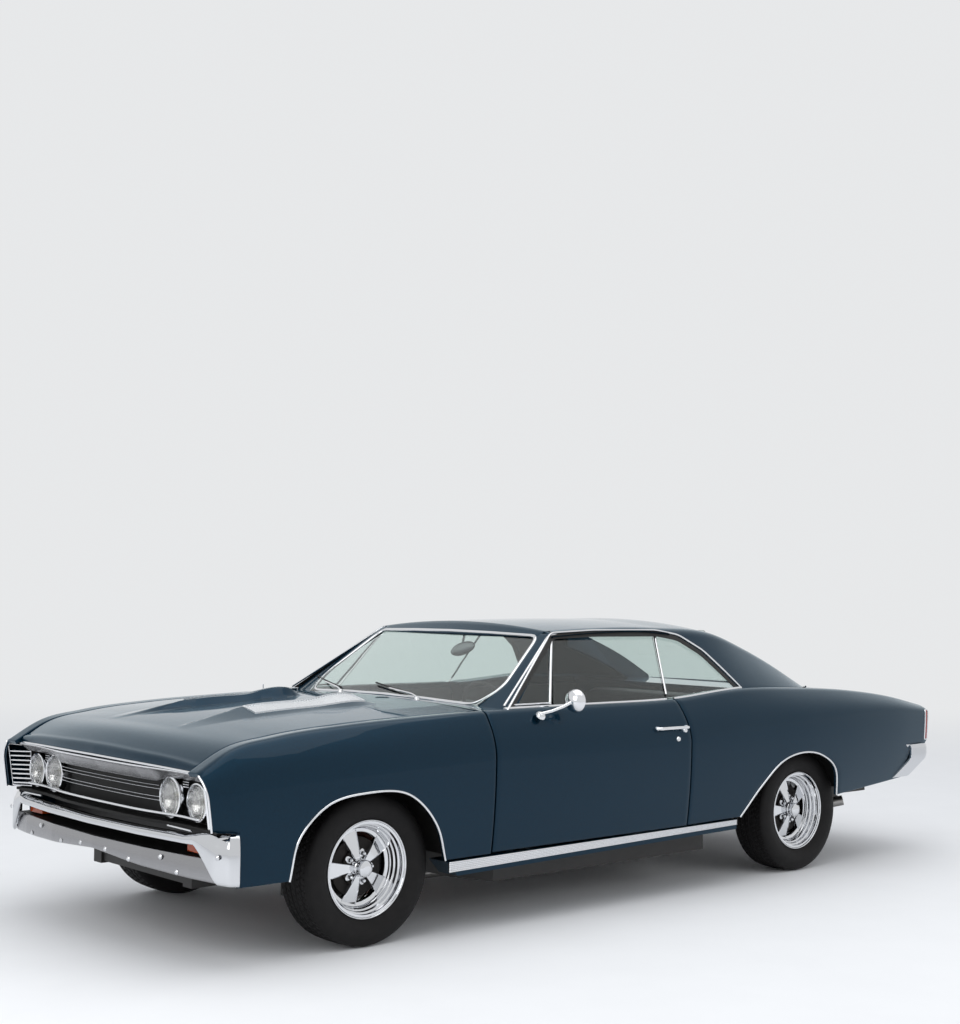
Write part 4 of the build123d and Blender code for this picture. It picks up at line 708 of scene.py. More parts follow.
def roof_top_z(x, y):
    """Height of the roof's crown: a shallow arch between the rails."""
    _, rail_y, rail_z, centre_z = roof_rail(x)
    return centre_z - (centre_z - rail_z) * (y / rail_y) ** 2


def roof_top(edge, inner_y, columns):
    """The roof's top from the end of the rail's corner in to a given half width."""
    x, outer_y = edge[:, 0][:, None], edge[:, 1][:, None]
    share = np.linspace(0, 1, columns)[None]
    y = outer_y * (1 - share) + inner_y * share
    z = roof_top_z(np.broadcast_to(x, y.shape), y)
    grid = np.stack([np.broadcast_to(x, y.shape), y, z], -1)
    grid[:, 0] = edge
    return grid


front_x = np.linspace(SCREEN_TOP_X, ROOF_BREAK_X, 66)
window_x = front_x[front_x > -0.7635]
sail_x = np.concatenate([[-0.7641], front_x[front_x < -0.765], np.linspace(ROOF_BREAK_X, SAIL_END_X, 45)[1:]])
side_x = np.concatenate([window_x, [-0.7635], sail_x])
low_z = np.where(side_x > WINDOW_END_X, along(WINDOW_EDGE, 1, side_x), along(SIDE, CROWN_Z, side_x) - 0.004)
side = roof_side(side_x, low_z, 14)
top_front = roof_top(side[side_x >= ROOF_BREAK_X - 1e-9][:, -1], 0.0, 22)
top_sail = roof_top(side[side_x <= ROOF_BREAK_X + 1e-9][:, -1], SAIL_INNER_Y, 4)
inner = top_sail[:, -1]
sail_wall_z = np.maximum(inner[:, 2] - 0.115, 0.900)
wall = np.stack([inner, inner * (1, 1, 0) + np.stack([0 * sail_wall_z, 0 * sail_wall_z, sail_wall_z], -1)], 1)
half_roof = [faced(side), faced(top_front, (0, 0, 1)), faced(top_sail, (0, 0, 1)),
             faced(swept_between(wall[:, 0], wall[:, 1], 6), (0, -1, 0))]


def screen_x(y, z):
    """The windshield's surface, which carries the header and the pillars too: it leans back with height,
    and bows forwards in the middle."""
    crown = (ROOF[-1, 4] - ROOF[-1, 3] + 0.001) * (1 - (y / ROOF[-1, 2]) ** 2)
    rise = z - ROOF[-1, 3] + SCREEN_RISE - crown
    return SCREEN_FOOT_X - SCREEN_LEAN * rise / SCREEN_RISE


def side_plane_y(z):
    """Half width of the plane that holds the pillars and side windows, at a height."""
    foot_y, rail_y, rail_z = ROOF[-1, 1:4]
    return foot_y + (rail_y - foot_y) * (z - ROOF_FOOT_Z) / (rail_z - ROOF_FOOT_Z)


# The windshield opening's edge from the cowl up the pillar to the header. Columns: z, y
SCREEN_EDGE = [(0.900, 0.620), (0.930, 0.640), (0.985, 0.678), (1.046, 0.700), (1.150, 0.672),
               (1.283, 0.606), (1.330, 0.580)]
SCREEN_HEAD_Z = 1.279
header_y, header_top = top_front[0, :, 1:2], top_front[0, :, 2:]
header_z = header_top + (SCREEN_HEAD_Z - header_top) * np.linspace(0, 1, 5)[None]
header_x = screen_x(header_y, header_z)
header = np.stack([header_x, np.broadcast_to(header_y, header_x.shape), header_z], -1)
header[:, 0] = top_front[0]

pillar_z = np.linspace(0.905, 1.292, 30)
pillar_y = side_plane_y(pillar_z)
corner = np.stack([screen_x(pillar_y, pillar_z), pillar_y, pillar_z], -1)
back = corner - (PILLAR_WIDTH, 0, 0)
edge_y = along(SCREEN_EDGE, 1, pillar_z) - 0.004
t = np.linspace(0, 1, 6)[None, :, None]
lip_back = corner * 0.55 + back * 0.45
lip_y = pillar_y - 0.016
lip_front = np.stack([screen_x(lip_y, pillar_z), lip_y, pillar_z], -1)
bend = bent(t, lip_back[:, None], corner[:, None], lip_front[:, None])
face_y = lip_y[:, None] + (edge_y - lip_y)[:, None] * np.linspace(0, 1, 7)[None, 1:]
face_z = np.broadcast_to(pillar_z[:, None], face_y.shape)
face = np.stack([screen_x(face_y, face_z), face_y, face_z], -1)
inside = face[:, -1] - (0.022, 0, 0)
behind = corner - (0.045, 0.030, 0)
pillar = np.concatenate([back[:, None], bend, face, inside[:, None], behind[:, None], back[:, None]], 1)
half_roof += [faced(header, (1, 0, 0)), faced(pillar, (1, 0.2, 0))]
piece("roof_skin", hemmed(half_roof + mirror(half_roof), depth=0.010), paint, "body", ["roof"])

# The hood and the trunk lid: pressed sheets between the fenders and the quarters. The hood has two long
# blisters with bright ribbed inserts, and its nose rolls down over the grille. Both lids can open.
LID_GAP, HOOD_REAR_X, DECK_FRONT_X, DECK_END_X = 0.006, 1.036, -1.568, -2.408
HOOD_CREST = [(HOOD_REAR_X, 0.985), (1.270, 0.978), (1.500, 0.969), (1.750, 0.957), (2.000, 0.941),
              (2.250, 0.910), (2.400, 0.880), (2.498, 0.820)]
DECK_CREST = [(DECK_END_X, 0.868), (-2.200, 0.915), (-1.900, 0.954), (DECK_FRONT_X, 0.972)]
NOSE_PLAN = [(0.0, 2.504), (0.330, 2.497), (0.640, 2.474), (0.770, 2.466)]
LIP_Z = [(0.0, 0.787), (0.400, 0.784), (0.770, 0.776)]
BLISTER_Y, INSERT_X, INSERT_HALF, INSERT_RIBS, FRAME_HALF = 0.300, (1.320, 1.910), 0.047, 42, 0.0035
BLISTER = [(1.255, 0.060, 0.000), (1.300, 0.072, 0.026), (1.600, 0.075, 0.031), (1.915, 0.072, 0.032),
           (2.000, 0.064, 0.023), (2.150, 0.048, 0.007), (2.260, 0.030, 0.000)]


def soft_step(t):
    """A smooth step from nought to one."""
    t = np.clip(t, 0, 1)
    return t * t * (3 - 2 * t)


def lid_z(x, y, crest, flange):
    """Height of a lid: level with the panels beside it at its edges, and crowned between them."""
    half = along(SIDE, CROWN_Y, x) - flange
    edge = along(SIDE, CROWN_Z, x) - FLANGE_DROP
    return edge + (along(crest, 1, x) - edge) * (1 - (y / half) ** 2)


def blister_z(x, y):
    """Height of the two blisters: a soft shoulder on the inner side, from which the top slopes outwards."""
    away = np.abs(y) - BLISTER_Y
    half, rise = along(BLISTER, 1, x), along(BLISTER, 2, x)
    inside = (x > BLISTER[0][0]) & (x < BLISTER[-1][0])
    shoulder = soft_step((half + 0.018 + away) / 0.036)
    slope = np.clip((half + 0.018 - away) / (2 * half), 0, 1)
    return inside * rise * shoulder * slope


def hood_z(x, y):
    """Height of the hood: its crowned sheet and the blisters on it."""
    return lid_z(x, y, HOOD_CREST, FRONT_FLANGE + LID_GAP) + blister_z(x, y)


def rolled_end(grid, plan, lip_z, back):
    """A lid's end bent down to a lip: from the last row, through the plan line, to the lip's height."""
    y = grid[-1, :, 1]
    reach = along(plan, 1, np.abs(y))
    corner = np.stack([reach, y, grid[-1, :, 2] - 0.004], -1)
    end = np.stack([reach - back, y, along(lip_z, 1, np.abs(y))], -1)
    t = np.linspace(0, 1, 7)[1:, None, None]
    return np.concatenate([grid, bent(t, grid[-1], corner, end)])


y_share = np.linspace(-1, 1, 121)
y_share = y_share + 0.02 * np.sin(2 * np.pi * y_share)
x_share = np.concatenate([np.linspace(0, 0.36, 60), np.linspace(0.36, 1, 90)[1:]])[:, None]
hood_half = along(SIDE, CROWN_Y, HOOD_REAR_X + (2.46 - HOOD_REAR_X) * x_share) - FRONT_FLANGE - LID_GAP
hood_y = y_share[None] * hood_half
hood_x = HOOD_REAR_X + (along(NOSE_PLAN, 1, np.abs(hood_y)) - 0.030 - HOOD_REAR_X) * x_share
hood = rolled_end(np.stack([hood_x, hood_y, hood_z(hood_x, hood_y)], -1), NOSE_PLAN, LIP_Z, 0.006)
piece("hood_skin", hemmed([faced(hood, (0, 0, 1))], depth=0.012), paint, "hood", ["hood"])

deck_x = DECK_FRONT_X + (DECK_END_X + 0.020 - DECK_FRONT_X) * np.linspace(0, 1, 60)[:, None]
deck_half = along(SIDE, CROWN_Y, deck_x) - REAR_FLANGE - LID_GAP
deck_y = np.linspace(-1, 1, 61)[None] * deck_half
deck_x = np.broadcast_to(deck_x, deck_y.shape)
deck = np.stack([deck_x, deck_y, lid_z(deck_x, deck_y, DECK_CREST, REAR_FLANGE + LID_GAP)], -1)
deck = rolled_end(deck, [(0.0, DECK_END_X - 0.006), (0.8, DECK_END_X)], [(0.0, 0.838), (0.8, 0.822)], -0.003)
piece("trunk_skin", hemmed([faced(deck, (0, 0, 1))], depth=0.012), paint, "decklid",
      ["decklid"])


def insert_sheets(side):
    """One blister's insert: a ribbed plate, its ribs across the car, in a thin raised frame."""
    x = np.linspace(*INSERT_X, INSERT_RIBS * 8 + 1)[:, None]
    y = np.linspace(-INSERT_HALF, INSERT_HALF, 9)[None]
    rib = np.abs(np.mod((x - INSERT_X[0]) / (INSERT_X[1] - INSERT_X[0]) * INSERT_RIBS, 1) - 0.5) * 2
    place_y = side * BLISTER_Y + y
    top = hood_z(x, place_y) + 0.001 + 0.0014 * soft_step(rib * 1.6 - 0.3)
    ribbed = np.stack(np.broadcast_arrays(x, place_y, top), -1)
    corners = np.array([(INSERT_X[0], -1), (INSERT_X[1], -1), (INSERT_X[1], 1), (INSERT_X[0], 1),
                        (INSERT_X[0], -1)])
    path = np.concatenate([np.linspace(a, b, 24, endpoint=False) for a, b in zip(corners, corners[1:])])
    px, py = path[:, 0], side * BLISTER_Y + path[:, 1] * INSERT_HALF
    pz = hood_z(px, py)
    out_x = np.sign(px - (INSERT_X[0] + INSERT_X[1]) / 2) * FRAME_HALF
    out_y = np.sign(py - side * BLISTER_Y) * FRAME_HALF
    frame_ring = np.stack([np.stack([px + way * out_x, py + way * out_y, pz + up], -1)
                           for way, up in ((-1, 0.001), (-1, 0.0065), (1, 0.0065), (1, -0.001))], 1)
    return [ribbed, (frame_ring[:, ::-1], quads(len(path), 4, ring_u=True))]


satin = chrome("satin_metal", (0.82, 0.84, 0.86), 0.24)
piece("hood_insert_ribs", [s for side in (1, -1) for s in insert_sheets(side)], satin, "hood",
      ["hood_inserts"])

# Bright trim. Each strip is a half-round bar laid along its path on the body: the windshield's surround,
# the drip rails, window frames and belt, wheel-opening lips, leading edges and the ribbed sill strips.
GLASS_FOOT, GLASS_HEAD = (0.842, 0.965), (0.651, 1.284)
VENT_LINE, PANE_LINE = [(0.422, 1.290), (0.614, 0.968)], [(-0.3067, 1.290), (-0.199, 0.985)]
SIDE_OUT = np.array([0, 0.857, 0.515])
SILL_RIBS, STRIP_FRONT_X, STRIP_REAR_X = 6, 1.290, -0.634


def half_round(width, height):
    """A half-round section: across, outwards."""
    angle = np.linspace(0, np.pi, 8)
    arc = np.column_stack([width / 2 * np.cos(angle), height * np.sin(angle) ** 0.8])
    return np.concatenate([arc, [(-width / 2, -0.001), (width / 2, -0.001)]])


def outward(sheet):
    """A closed sheet turned inside out if its volume is negative."""
    points, faces = sheet
    corners = points.reshape(-1, 3)[faces]
    volume = (np.cross(corners[:, 0], corners[:, 1]) * corners[:, 2]).sum() \
        + (np.cross(corners[:, 0], corners[:, 2]) * corners[:, 3]).sum()
    return sheet if volume > 0 else (points, faces[:, ::-1])


def moulding(path, out, section, ring=False):
    """A bar of one section along a path, its outer side facing the given way and its ends drawn shut."""
    path = np.asarray(path, float)
    if ring:
        way = unit(np.roll(path, -1, axis=0) - np.roll(path, 1, axis=0))
    else:
        way = unit(np.gradient(path, axis=0))
    side = unit(np.cross(way, out))
    up = np.cross(side, way)
    grid = path[:, None] + side[:, None] * section[None, :, :1] + up[:, None] * section[None, :, 1:]
    if not ring:
        middle = grid.mean(1, keepdims=True)
        ends = np.broadcast_to(middle, grid.shape)
        grid = np.concatenate([ends[:1], grid, ends[-1:]])
    return outward((grid.reshape(-1, 3), quads(*grid.shape[:2], ring_u=ring, ring_v=True)))


def both(sheets):
    """The given sheets and their mirror images."""
    return [*sheets, *mirror(sheets)]


def even(points, count, radius=0.0):
    """Evenly spaced points on a broken line whose corners may be rounded."""
    return spaced(rounded(points, radius, 6) if radius else np.asarray(points, float), count)


def on_screen(y, z):
    """Points of the windshield's surface, and the way it faces."""
    points = np.stack([screen_x(y, z), y, z], -1)
    step = 0.001
    du = np.stack([screen_x(y + step, z), y + step, z], -1) - points
    dv = np.stack([screen_x(y, z + step), y, z + step], -1) - points
    return points, unit(np.cross(du, dv))


def roof_y(x, z):
    """Half width of the roof's side at a place of the side view."""
    foot_y, rail_y, rail_z, _ = roof_rail(np.minimum(x, SCREEN_TOP_X))
    return foot_y + (rail_y - foot_y) * (z - ROOF_FOOT_Z) / (rail_z - ROOF_FOOT_Z)


def in_glass(points):
    """Points of the side glass's leaning plane, from places of the side view."""
    x, z = np.transpose(points)
    share = (z - GLASS_FOOT[1]) / (GLASS_HEAD[1] - GLASS_FOOT[1])
    return np.stack([x, GLASS_FOOT[0] + (GLASS_HEAD[0] - GLASS_FOOT[0]) * share, z], -1)


def nose_edge_x(z):
    """The fender's front edge, which leans forwards with height."""
    return np.interp(z, [0.558, 0.682, 0.772], [2.4635, 2.4805, 2.4935])


screen_path = even([(0.0, 0.984), (0.300, 0.980), (0.640, 0.968), (0.703, 1.046), (0.610, 1.279),
                    (0.300, 1.287), (0.0, 1.290)], 90, 0.040)
screen_trim, screen_out = on_screen(*np.transpose(screen_path))
drip = even([(0.905, 0.950), (0.436, 1.294), (0.150, 1.304), (-0.300, 1.300), (-0.465, 1.274),
             (-0.608, 1.193), (-0.708, 1.090), (-0.782, 1.004), (-0.786, 0.990)], 110, 0.030)
drip = np.stack([drip[:, 0], roof_y(drip[:, 0], drip[:, 1]) + 0.003, drip[:, 1]], -1)
vent = in_glass(even(VENT_LINE, 12)) + SIDE_OUT * 0.002
vent_front = in_glass(even([(0.902, 0.972), (0.448, 1.282), (0.200, 1.292)], 40, 0.02)) + SIDE_OUT * 0.003
vent_slope = in_glass(even([(0.608, 0.975), (0.862, 0.975)], 8)) + SIDE_OUT * 0.003
pane = in_glass(even(PANE_LINE, 12)) + SIDE_OUT * 0.002
belt_x = np.linspace(0.905, -0.770, 60)
belt = np.stack([belt_x, along(SIDE, CROWN_Y, belt_x) - 0.026, along(SIDE, CROWN_Z, belt_x) + 0.001], -1)
door_belt, quarter_belt = belt[belt_x > -0.195], belt[belt_x < -0.215]
body_trim = [moulding(screen_trim, screen_out, half_round(0.018, 0.007)),
             moulding(drip, SIDE_OUT, half_round(0.011, 0.009)),
             moulding(quarter_belt, (0, 0, 1), half_round(0.012, 0.007))]
door_trim = [moulding(path, SIDE_OUT, half_round(width, 0.006))
             for path, width in ((vent, 0.014), (vent_front, 0.010), (vent_slope, 0.010), (pane, 0.012))]
door_trim.append(moulding(door_belt, (0, 0, 1), half_round(0.012, 0.007)))

for arch in (FRONT_ARCH, REAR_ARCH):
    plan = smooth_path(arch, 90)
    lip = on_side(plan[:, 0], plan[:, 1])
    body_trim.append(moulding(lip + (0, -0.0005, 0), (0, 1, 0), half_round(0.010, 0.005)))
nose_z = np.linspace(0.558, 0.772, 20)
nose_edge = on_side(nose_edge_x(nose_z), nose_z) - (0, 0.002, 0)
body_trim.append(moulding(nose_edge, (0.6, 0.8, 0), half_round(0.009, 0.006)))
piece("body_bright_trim", both(body_trim), bright_trim, "body")
piece("door_bright_trim_left", door_trim, bright_trim, "door_left")
piece("door_bright_trim_right", mirror(door_trim), bright_trim, "door_right")

# The sill strip's face is a row of fine ribs that taper towards the rear
strip_x = np.linspace(STRIP_FRONT_X, STRIP_REAR_X, 60)[:, None]
strip_t = np.linspace(0, 1, SILL_RIBS * 8 + 1)[None]
strip_low = np.interp(strip_x, [STRIP_REAR_X, STRIP_FRONT_X], [0.313, 0.281])
strip_high = np.interp(strip_x, [STRIP_REAR_X, STRIP_FRONT_X], [0.340, 0.327])
strip_y = 0.9285 + 0.003 * np.abs(np.sin(strip_t * np.pi * SILL_RIBS))
strip = np.stack(np.broadcast_arrays(strip_x, strip_y, strip_low + (strip_high - strip_low) * strip_t), -1)
piece("sill_strips", both(hemmed([faced(strip)], radius=0.001, depth=0.006)), bright_trim, "body",
      ["rocker_mouldings"])

# The front end: a black recess under a wide satin band, crossed by fine bright bars, with paired round
# lamps, louvred end caps, a slim bumper blade with deep wings, and the face bar bolted below it.
NOSE_LINE = [(0.0, 2.500), (0.330, 2.492), (0.640, 2.460), (0.755, 2.464), (0.880, 2.468)]
BUMPER_LINE = [(0.0, 2.518), (0.400, 2.506), (0.720, 2.474), (0.880, 2.444), (0.945, 2.413), (0.965, 2.372)]
LAMPS = [(2.400, 0.512, 0.651, 1.06), (2.390, 0.704, 0.648, 0.98)]
RECESS_X, RECESS_Z, CAP_BLADES, BAND_HALF = 2.386, (0.545, 0.772), 8, 0.780
GRILLE_BARS = [(0.691, 0.0035), (0.677, 0.0035), (0.645, 0.0035), (0.631, 0.0035)]
FACE_BOLTS = [(0.905, 0.462), (0.530, 0.420), (0.110, 0.398), (0.300, 0.382), (0.640, 0.372)]


def bar_face(line, low_z, high_z, section, shift=0.0, half=None):
    """A pressed bar across the car, at places (distance back, share of its height) of a section. Its
    plan line, lower and upper edges go by distance from the middle."""
    half = half or line[-1][0]
    path = even([(y, along(line, 1, y)) for y in np.append([y for y, _ in line if y < half], half)], 91)
    y = np.concatenate([-path[:0:-1, 0], path[:, 0]])
    x = np.concatenate([path[:0:-1, 1], path[:, 1]])
    out = unit(np.stack([np.gradient(y), -np.gradient(x)], -1))
    low, high = (np.interp(np.abs(y), *np.transpose(edge)) for edge in (low_z, high_z))
    back, share = np.transpose(rounded(section, 0.2, 3))[..., None]
    return np.stack([x + shift - back * out[:, 0], y - back * out[:, 1], low + (high - low) * share], -1)


def facing(profile, centre, out, count=40):
    """A profile turned about an axis that points the given way through a centre."""
    grid, faces = turned(profile, count)
    out = unit(np.asarray(out, float))
    side = unit(np.cross(out, (0, 0, 1)))
    grid = grid[..., :1] * side + grid[..., 1:2] * out + grid[..., 2:] * np.cross(side, out) + centre
    return outward((grid, faces))


# A domed bolt head's profile
BOLT = [(0.0, 0.007), (0.0054, 0.006), (0.009, 0.002), (0.01125, 0.0), (0.0, -0.001)]

bumper_chrome = chrome("bumper_chrome", (0.66, 0.67, 0.69), 0.06, 0.03)
satin_steel = chrome("satin_steel", (0.34, 0.34, 0.35), 0.20)
blade = bar_face(BUMPER_LINE, [(0, 0.494), (0.768, 0.494), (0.800, 0.462), (0.868, 0.378), (0.892, 0.352),
                               (0.965, 0.348)],
                 [(0, 0.526), (0.700, 0.530), (0.800, 0.545), (0.965, 0.546)],
                 [(0.012, 0), (0.002, 0.04), (0.000, 0.14), (0.000, 0.60), (0.004, 0.78), (0.026, 1.0),
                  (0.050, 1.0)])
piece("bumper_blade", hemmed([faced(blade, (1, 0, 0))], radius=0.004, depth=0.014), bumper_chrome, "body",
      ["front_bumper"])
face_bar = bar_face(BUMPER_LINE, [(0, 0.388), (0.350, 0.366), (0.600, 0.358), (0.862, 0.354)],
                    [(0, 0.442), (0.862, 0.446)],
                    [(0.010, 0), (0.001, 0.05), (0.000, 0.15), (0.002, 0.55), (0.008, 0.95), (0.014, 1.0)],
                    -0.0225, 0.862)
tray_front = face_bar[-1] * (1, 1, 0) + (0, 0, 0.443)
tray_back = tray_front * (0, 1, 1) + (2.300, 0, 0)
tray = np.stack([tray_back, (tray_back + tray_front) / 2, tray_front])
piece("bumper_face_bar", hemmed([faced(face_bar, (1, 0, 0))], radius=0.003, depth=0.010), satin_steel, "body",
      ["front_valance"])
bolts = []
for side in (1, -1):
    for y, z in FACE_BOLTS:
        x = float(along(BUMPER_LINE, 1, y)) - (0.001 if y > 0.862 else 0.0245)
        bolts.append(facing(BOLT, (x, side * y, z), (1, 0.25 * side * y, 0), 18))
piece("bumper_bolts", bolts, bumper_chrome, "body")

grille_black, tree, shader = new_material("grille_black", {"Roughness": 0.5, "Specular IOR Level": 0.2})
mottled(tree, shader, 60.0, 4.0, (0.003, 0.003, 0.003), (0.009, 0.009, 0.009))

piece("bumper_slot_tray", hemmed([faced(tray, (0, 0, 1))], radius=0.001, depth=0.004), grille_black, "body")
recess_floor_z = RECESS_Z[0] + 0.010
recess = [(0.060, RECESS_Z[1]), (0.0, RECESS_Z[1] - 0.004), (0.0, recess_floor_z)]
wall_y = np.linspace(-0.880, 0.880, 97)
wall_x = np.interp(np.abs(wall_y), [0.424, 0.438, 0.784, 0.800], [RECESS_X, 2.352, 2.352, RECESS_X])
recess_wall = np.stack([np.stack(np.broadcast_arrays(wall_x + x, wall_y, z), -1) for x, z in recess])
lower_x = along(NOSE_LINE, 1, np.abs(wall_y)) - 0.040
sill = np.stack([np.stack(np.broadcast_arrays(wall_x + (lower_x - wall_x) * t, wall_y, recess_floor_z), -1)
                 for t in (0, 0.5, 1)])
recess_sheets = [*hemmed([faced(recess_wall, (1, 0, 0))], radius=0.001, depth=0.003),
                 *hemmed([faced(sill, (0, 0, 1))], radius=0.002, depth=0.010)]
piece("grille_recess", recess_sheets, grille_black, "body", ["grille"])

band = bar_face(NOSE_LINE[:4], [(0, 0.708), (0.430, 0.708), (0.500, 0.730), (0.780, 0.730)],
                [(0, 0.764), (0.780, 0.762)],
                [(0.052, 0), (0.048, 0.02), (0.026, 0.5), (0.006, 0.98), (0.003, 1.0)], half=BAND_HALF)
piece("grille_satin_band", hemmed([faced(band, (1, 0, 0.5))], radius=0.001, depth=0.003), satin_steel, "body")


def bar_across(z, half, shift, width, height, count=110, tilt=0.0):
    """A fine bright bar that follows the nose across the car."""
    y = np.linspace(-half, half, count)
    path = np.stack([along(NOSE_LINE, 1, np.abs(y)) + shift, y, np.broadcast_to(z, y.shape)], -1)
    return moulding(path, (1, 0, tilt), half_round(width, height))


bars = [bar_across(z, 0.432, -0.058, width, 0.004, 60) for z, width in GRILLE_BARS]
bars.append(bar_across(0.585, 0.745, -0.038, 0.013, 0.010, tilt=0.3))
bars.append(bar_across(0.7685, 0.776, -0.004, 0.009, 0.005, tilt=0.2))
lip_y = np.linspace(-0.762, 0.762, 120)
lip_line = np.column_stack([along(NOSE_PLAN, 1, np.abs(lip_y)) - 0.004, lip_y,
                            along(LIP_Z, 1, np.abs(lip_y)) - 0.002])
piece("hood_lip_trim", [moulding(lip_line, (1, 0, 0), half_round(0.010, 0.006))], bright_trim, "hood")
caps = []
for side in (1, -1):
    strip = even([(2.455, 0.560 * side, 0.547), (2.452, 0.735 * side, 0.545)], 14)
    bars.append(moulding(strip, (1, 0, 0.4), half_round(0.008, 0.006)))
    for n in range(CAP_BLADES):
        z = 0.578 + 0.021 * n
        inner = (RECESS_X + 0.006 + 0.012 * n / CAP_BLADES, side * 0.786, z)
        outer = (float(nose_edge_x(z)) - 0.020, side * 0.866, z)
        caps.append(moulding(even([inner, outer], 8), (0.7, -0.7 * side, 0), half_round(0.009, 0.007)))
    edge = [(2.394, side * 0.784, 0.566), (2.404, side * 0.784, 0.752), (2.476, side * 0.868, 0.760),
            (2.448, side * 0.868, 0.566)]
    ring = even([*edge, edge[0]], 64)[:-1]
    caps.append(moulding(ring, (0.7, -0.7 * side, 0), half_round(0.007, 0.010), ring=True))
    for n in range(4):
        path = even([(2.402, side * 0.588, 0.700 + 0.010 * n), (2.402, side * 0.632, 0.700 + 0.010 * n)], 6)
        caps.append(moulding(path, (1, 0, 0), half_round(0.005, 0.005)))
piece("grille_bright_bars", bars, bright_trim, "body")
piece("grille_end_caps", caps, bright_trim, "body")

# Columns of every lamp's profile: radius, distance forwards of the lamp's own place
BEZEL = [(0.070, 0.000), (0.0705, 0.018), (0.0735, 0.0245), (0.0785, 0.0225), (0.0815, 0.012),
         (0.0820, -0.004), (0.070, -0.004)]
LENS = [(0.0, 0.0235), (0.020, 0.0230), (0.040, 0.0212), (0.058, 0.0175), (0.066, 0.0135), (0.0705, 0.0080)]
BOWL = [(0.0, -0.032), (0.012, -0.031), (0.030, -0.026), (0.050, -0.013), (0.064, 0.000), (0.0705, 0.0075)]
BULB = [(0.0, 0.008), (0.010, 0.006), (0.014, 0.000), (0.014, -0.012), (0.018, -0.028), (0.0, -0.029)]


def facing_front(profile, x, y, z, size, count=72, ring=False):
    """A profile turned about the lamp's axis, which points forwards."""
    grid, faces = turned(np.array(profile) * (size, 1), count, closed=ring)
    return outward((np.stack([grid[..., 1] + x, grid[..., 0] + y, grid[..., 2] + z], -1), faces))


def add_ribs(name):
    """A shared effect: moulded ribs, as the sine of a place times the turns in each metre."""
    group, entry, leave = shared_effect(name, {"Place": "Float", "Turns": "Float"}, {"Height": "Float"})
    angle = linked(group, "ShaderNodeMath", {0: entry.outputs["Place"], 1: entry.outputs["Turns"]},
                   operation="MULTIPLY")
    rib = linked(group, "ShaderNodeMath", {0: angle.outputs[0]}, operation="SINE")
    group.links.new(rib.outputs[0], leave.inputs["Height"])
    return group


lens_ribs = add_ribs("moulded_ribs")


def ribbed_along(tree, axis, per_metre):
    """The height of a lens's ribs, which follow each other along an axis."""
    apart = linked(tree, "ShaderNodeSeparateXYZ", {0: object_place(tree)})
    return linked(tree, "ShaderNodeGroup", {"Place": apart.outputs[axis], "Turns": 2 * math.pi * per_metre},
                  node_tree=lens_ribs).outputs["Height"]


GLASS = {"Transmission Weight": 1.0, "IOR": 1.45}
lens_glass, tree, shader = new_material("fluted_lens", {"Base Color": (0.97, 0.98, 1.0, 1), "Roughness": 0.03,
                                                        **GLASS})
raised(tree, shader, ribbed_along(tree, "Y", 110), 0.6, 0.0008)

reflector = chrome("lamp_reflector", (0.60, 0.59, 0.55), 0.10, 0.5)
places = [(x, side * y, z, size) for x, y, z, size in LAMPS for side in (1, -1)]
piece("headlamp_bezels", [facing_front(BEZEL, *p, ring=True) for p in places], bright_trim, "body",
      ["headlamps"])
piece("headlamp_lenses", [facing_front(LENS + [(r, d - 0.003) for r, d in LENS[::-1]], *p) for p in places],
      lens_glass, "body")
bowls = [facing_front(BOWL + [(r, d - 0.002) for r, d in BOWL[::-1]], *p, 48) for p in places]
piece("headlamp_reflectors", [*bowls, *(facing_front(BULB, *p, 20) for p in places)], reflector, "body")

# The tail: a bumper that wraps round the corners and tucks under the body, a ribbed red lamp on each side
# in a bright frame with a marker round the corner, and fine bright strips across the panel between.
REAR_LINE = [(0.0, -2.482), (0.500, -2.474), (0.800, -2.448), (0.886, -2.422), (0.914, -2.372),
             (0.921, -2.215)]
TAIL_LAMP = [(0.565, 0.643), (0.785, 0.643), (0.785, 0.797), (0.565, 0.797)]
MARKER_EDGE = [(-2.412, 0.700), (-2.412, 0.820), (-2.380, 0.820), (-2.380, 0.648), (-2.412, 0.648),
               (-2.412, 0.700)]
REAR_BOLTS, LAMP_CORNER = [(0.780, 0.585), (0.300, 0.585)], 0.014


def round_lamp(outline, count):
    """Evenly spaced points round a lamp's outline, with rounded corners; the last is the first again."""
    return even(rounded([*outline[-1:], *outline, outline[0]], LAMP_CORNER, 5)[4:-5], count)


def pillow(outline, base_x, rise):
    """A shallow domed panel over an outline of the rear view: rings that close in and stand proud."""
    ring = round_lamp(outline, 64)
    middle = ring.mean(0)
    share = np.array([1, 1, 0.985, 0.95, 0.85, 0.5, 0.2, 0.0])[:, None, None]
    out = np.array([0, 0.45, 0.72, 0.88, 0.96, 1.0, 1.0, 1.0])[:, None] * rise
    yz = middle + (ring[:-1] - middle) * share
    grid = np.concatenate([np.broadcast_to((base_x + out)[..., None], (*yz.shape[:2], 1)), yz], -1)
    grid = np.concatenate([np.broadcast_to(grid[:1].mean(1, keepdims=True), grid[:1].shape), grid])
    return outward((grid.reshape(-1, 3), quads(*grid.shape[:2], ring_v=True)))


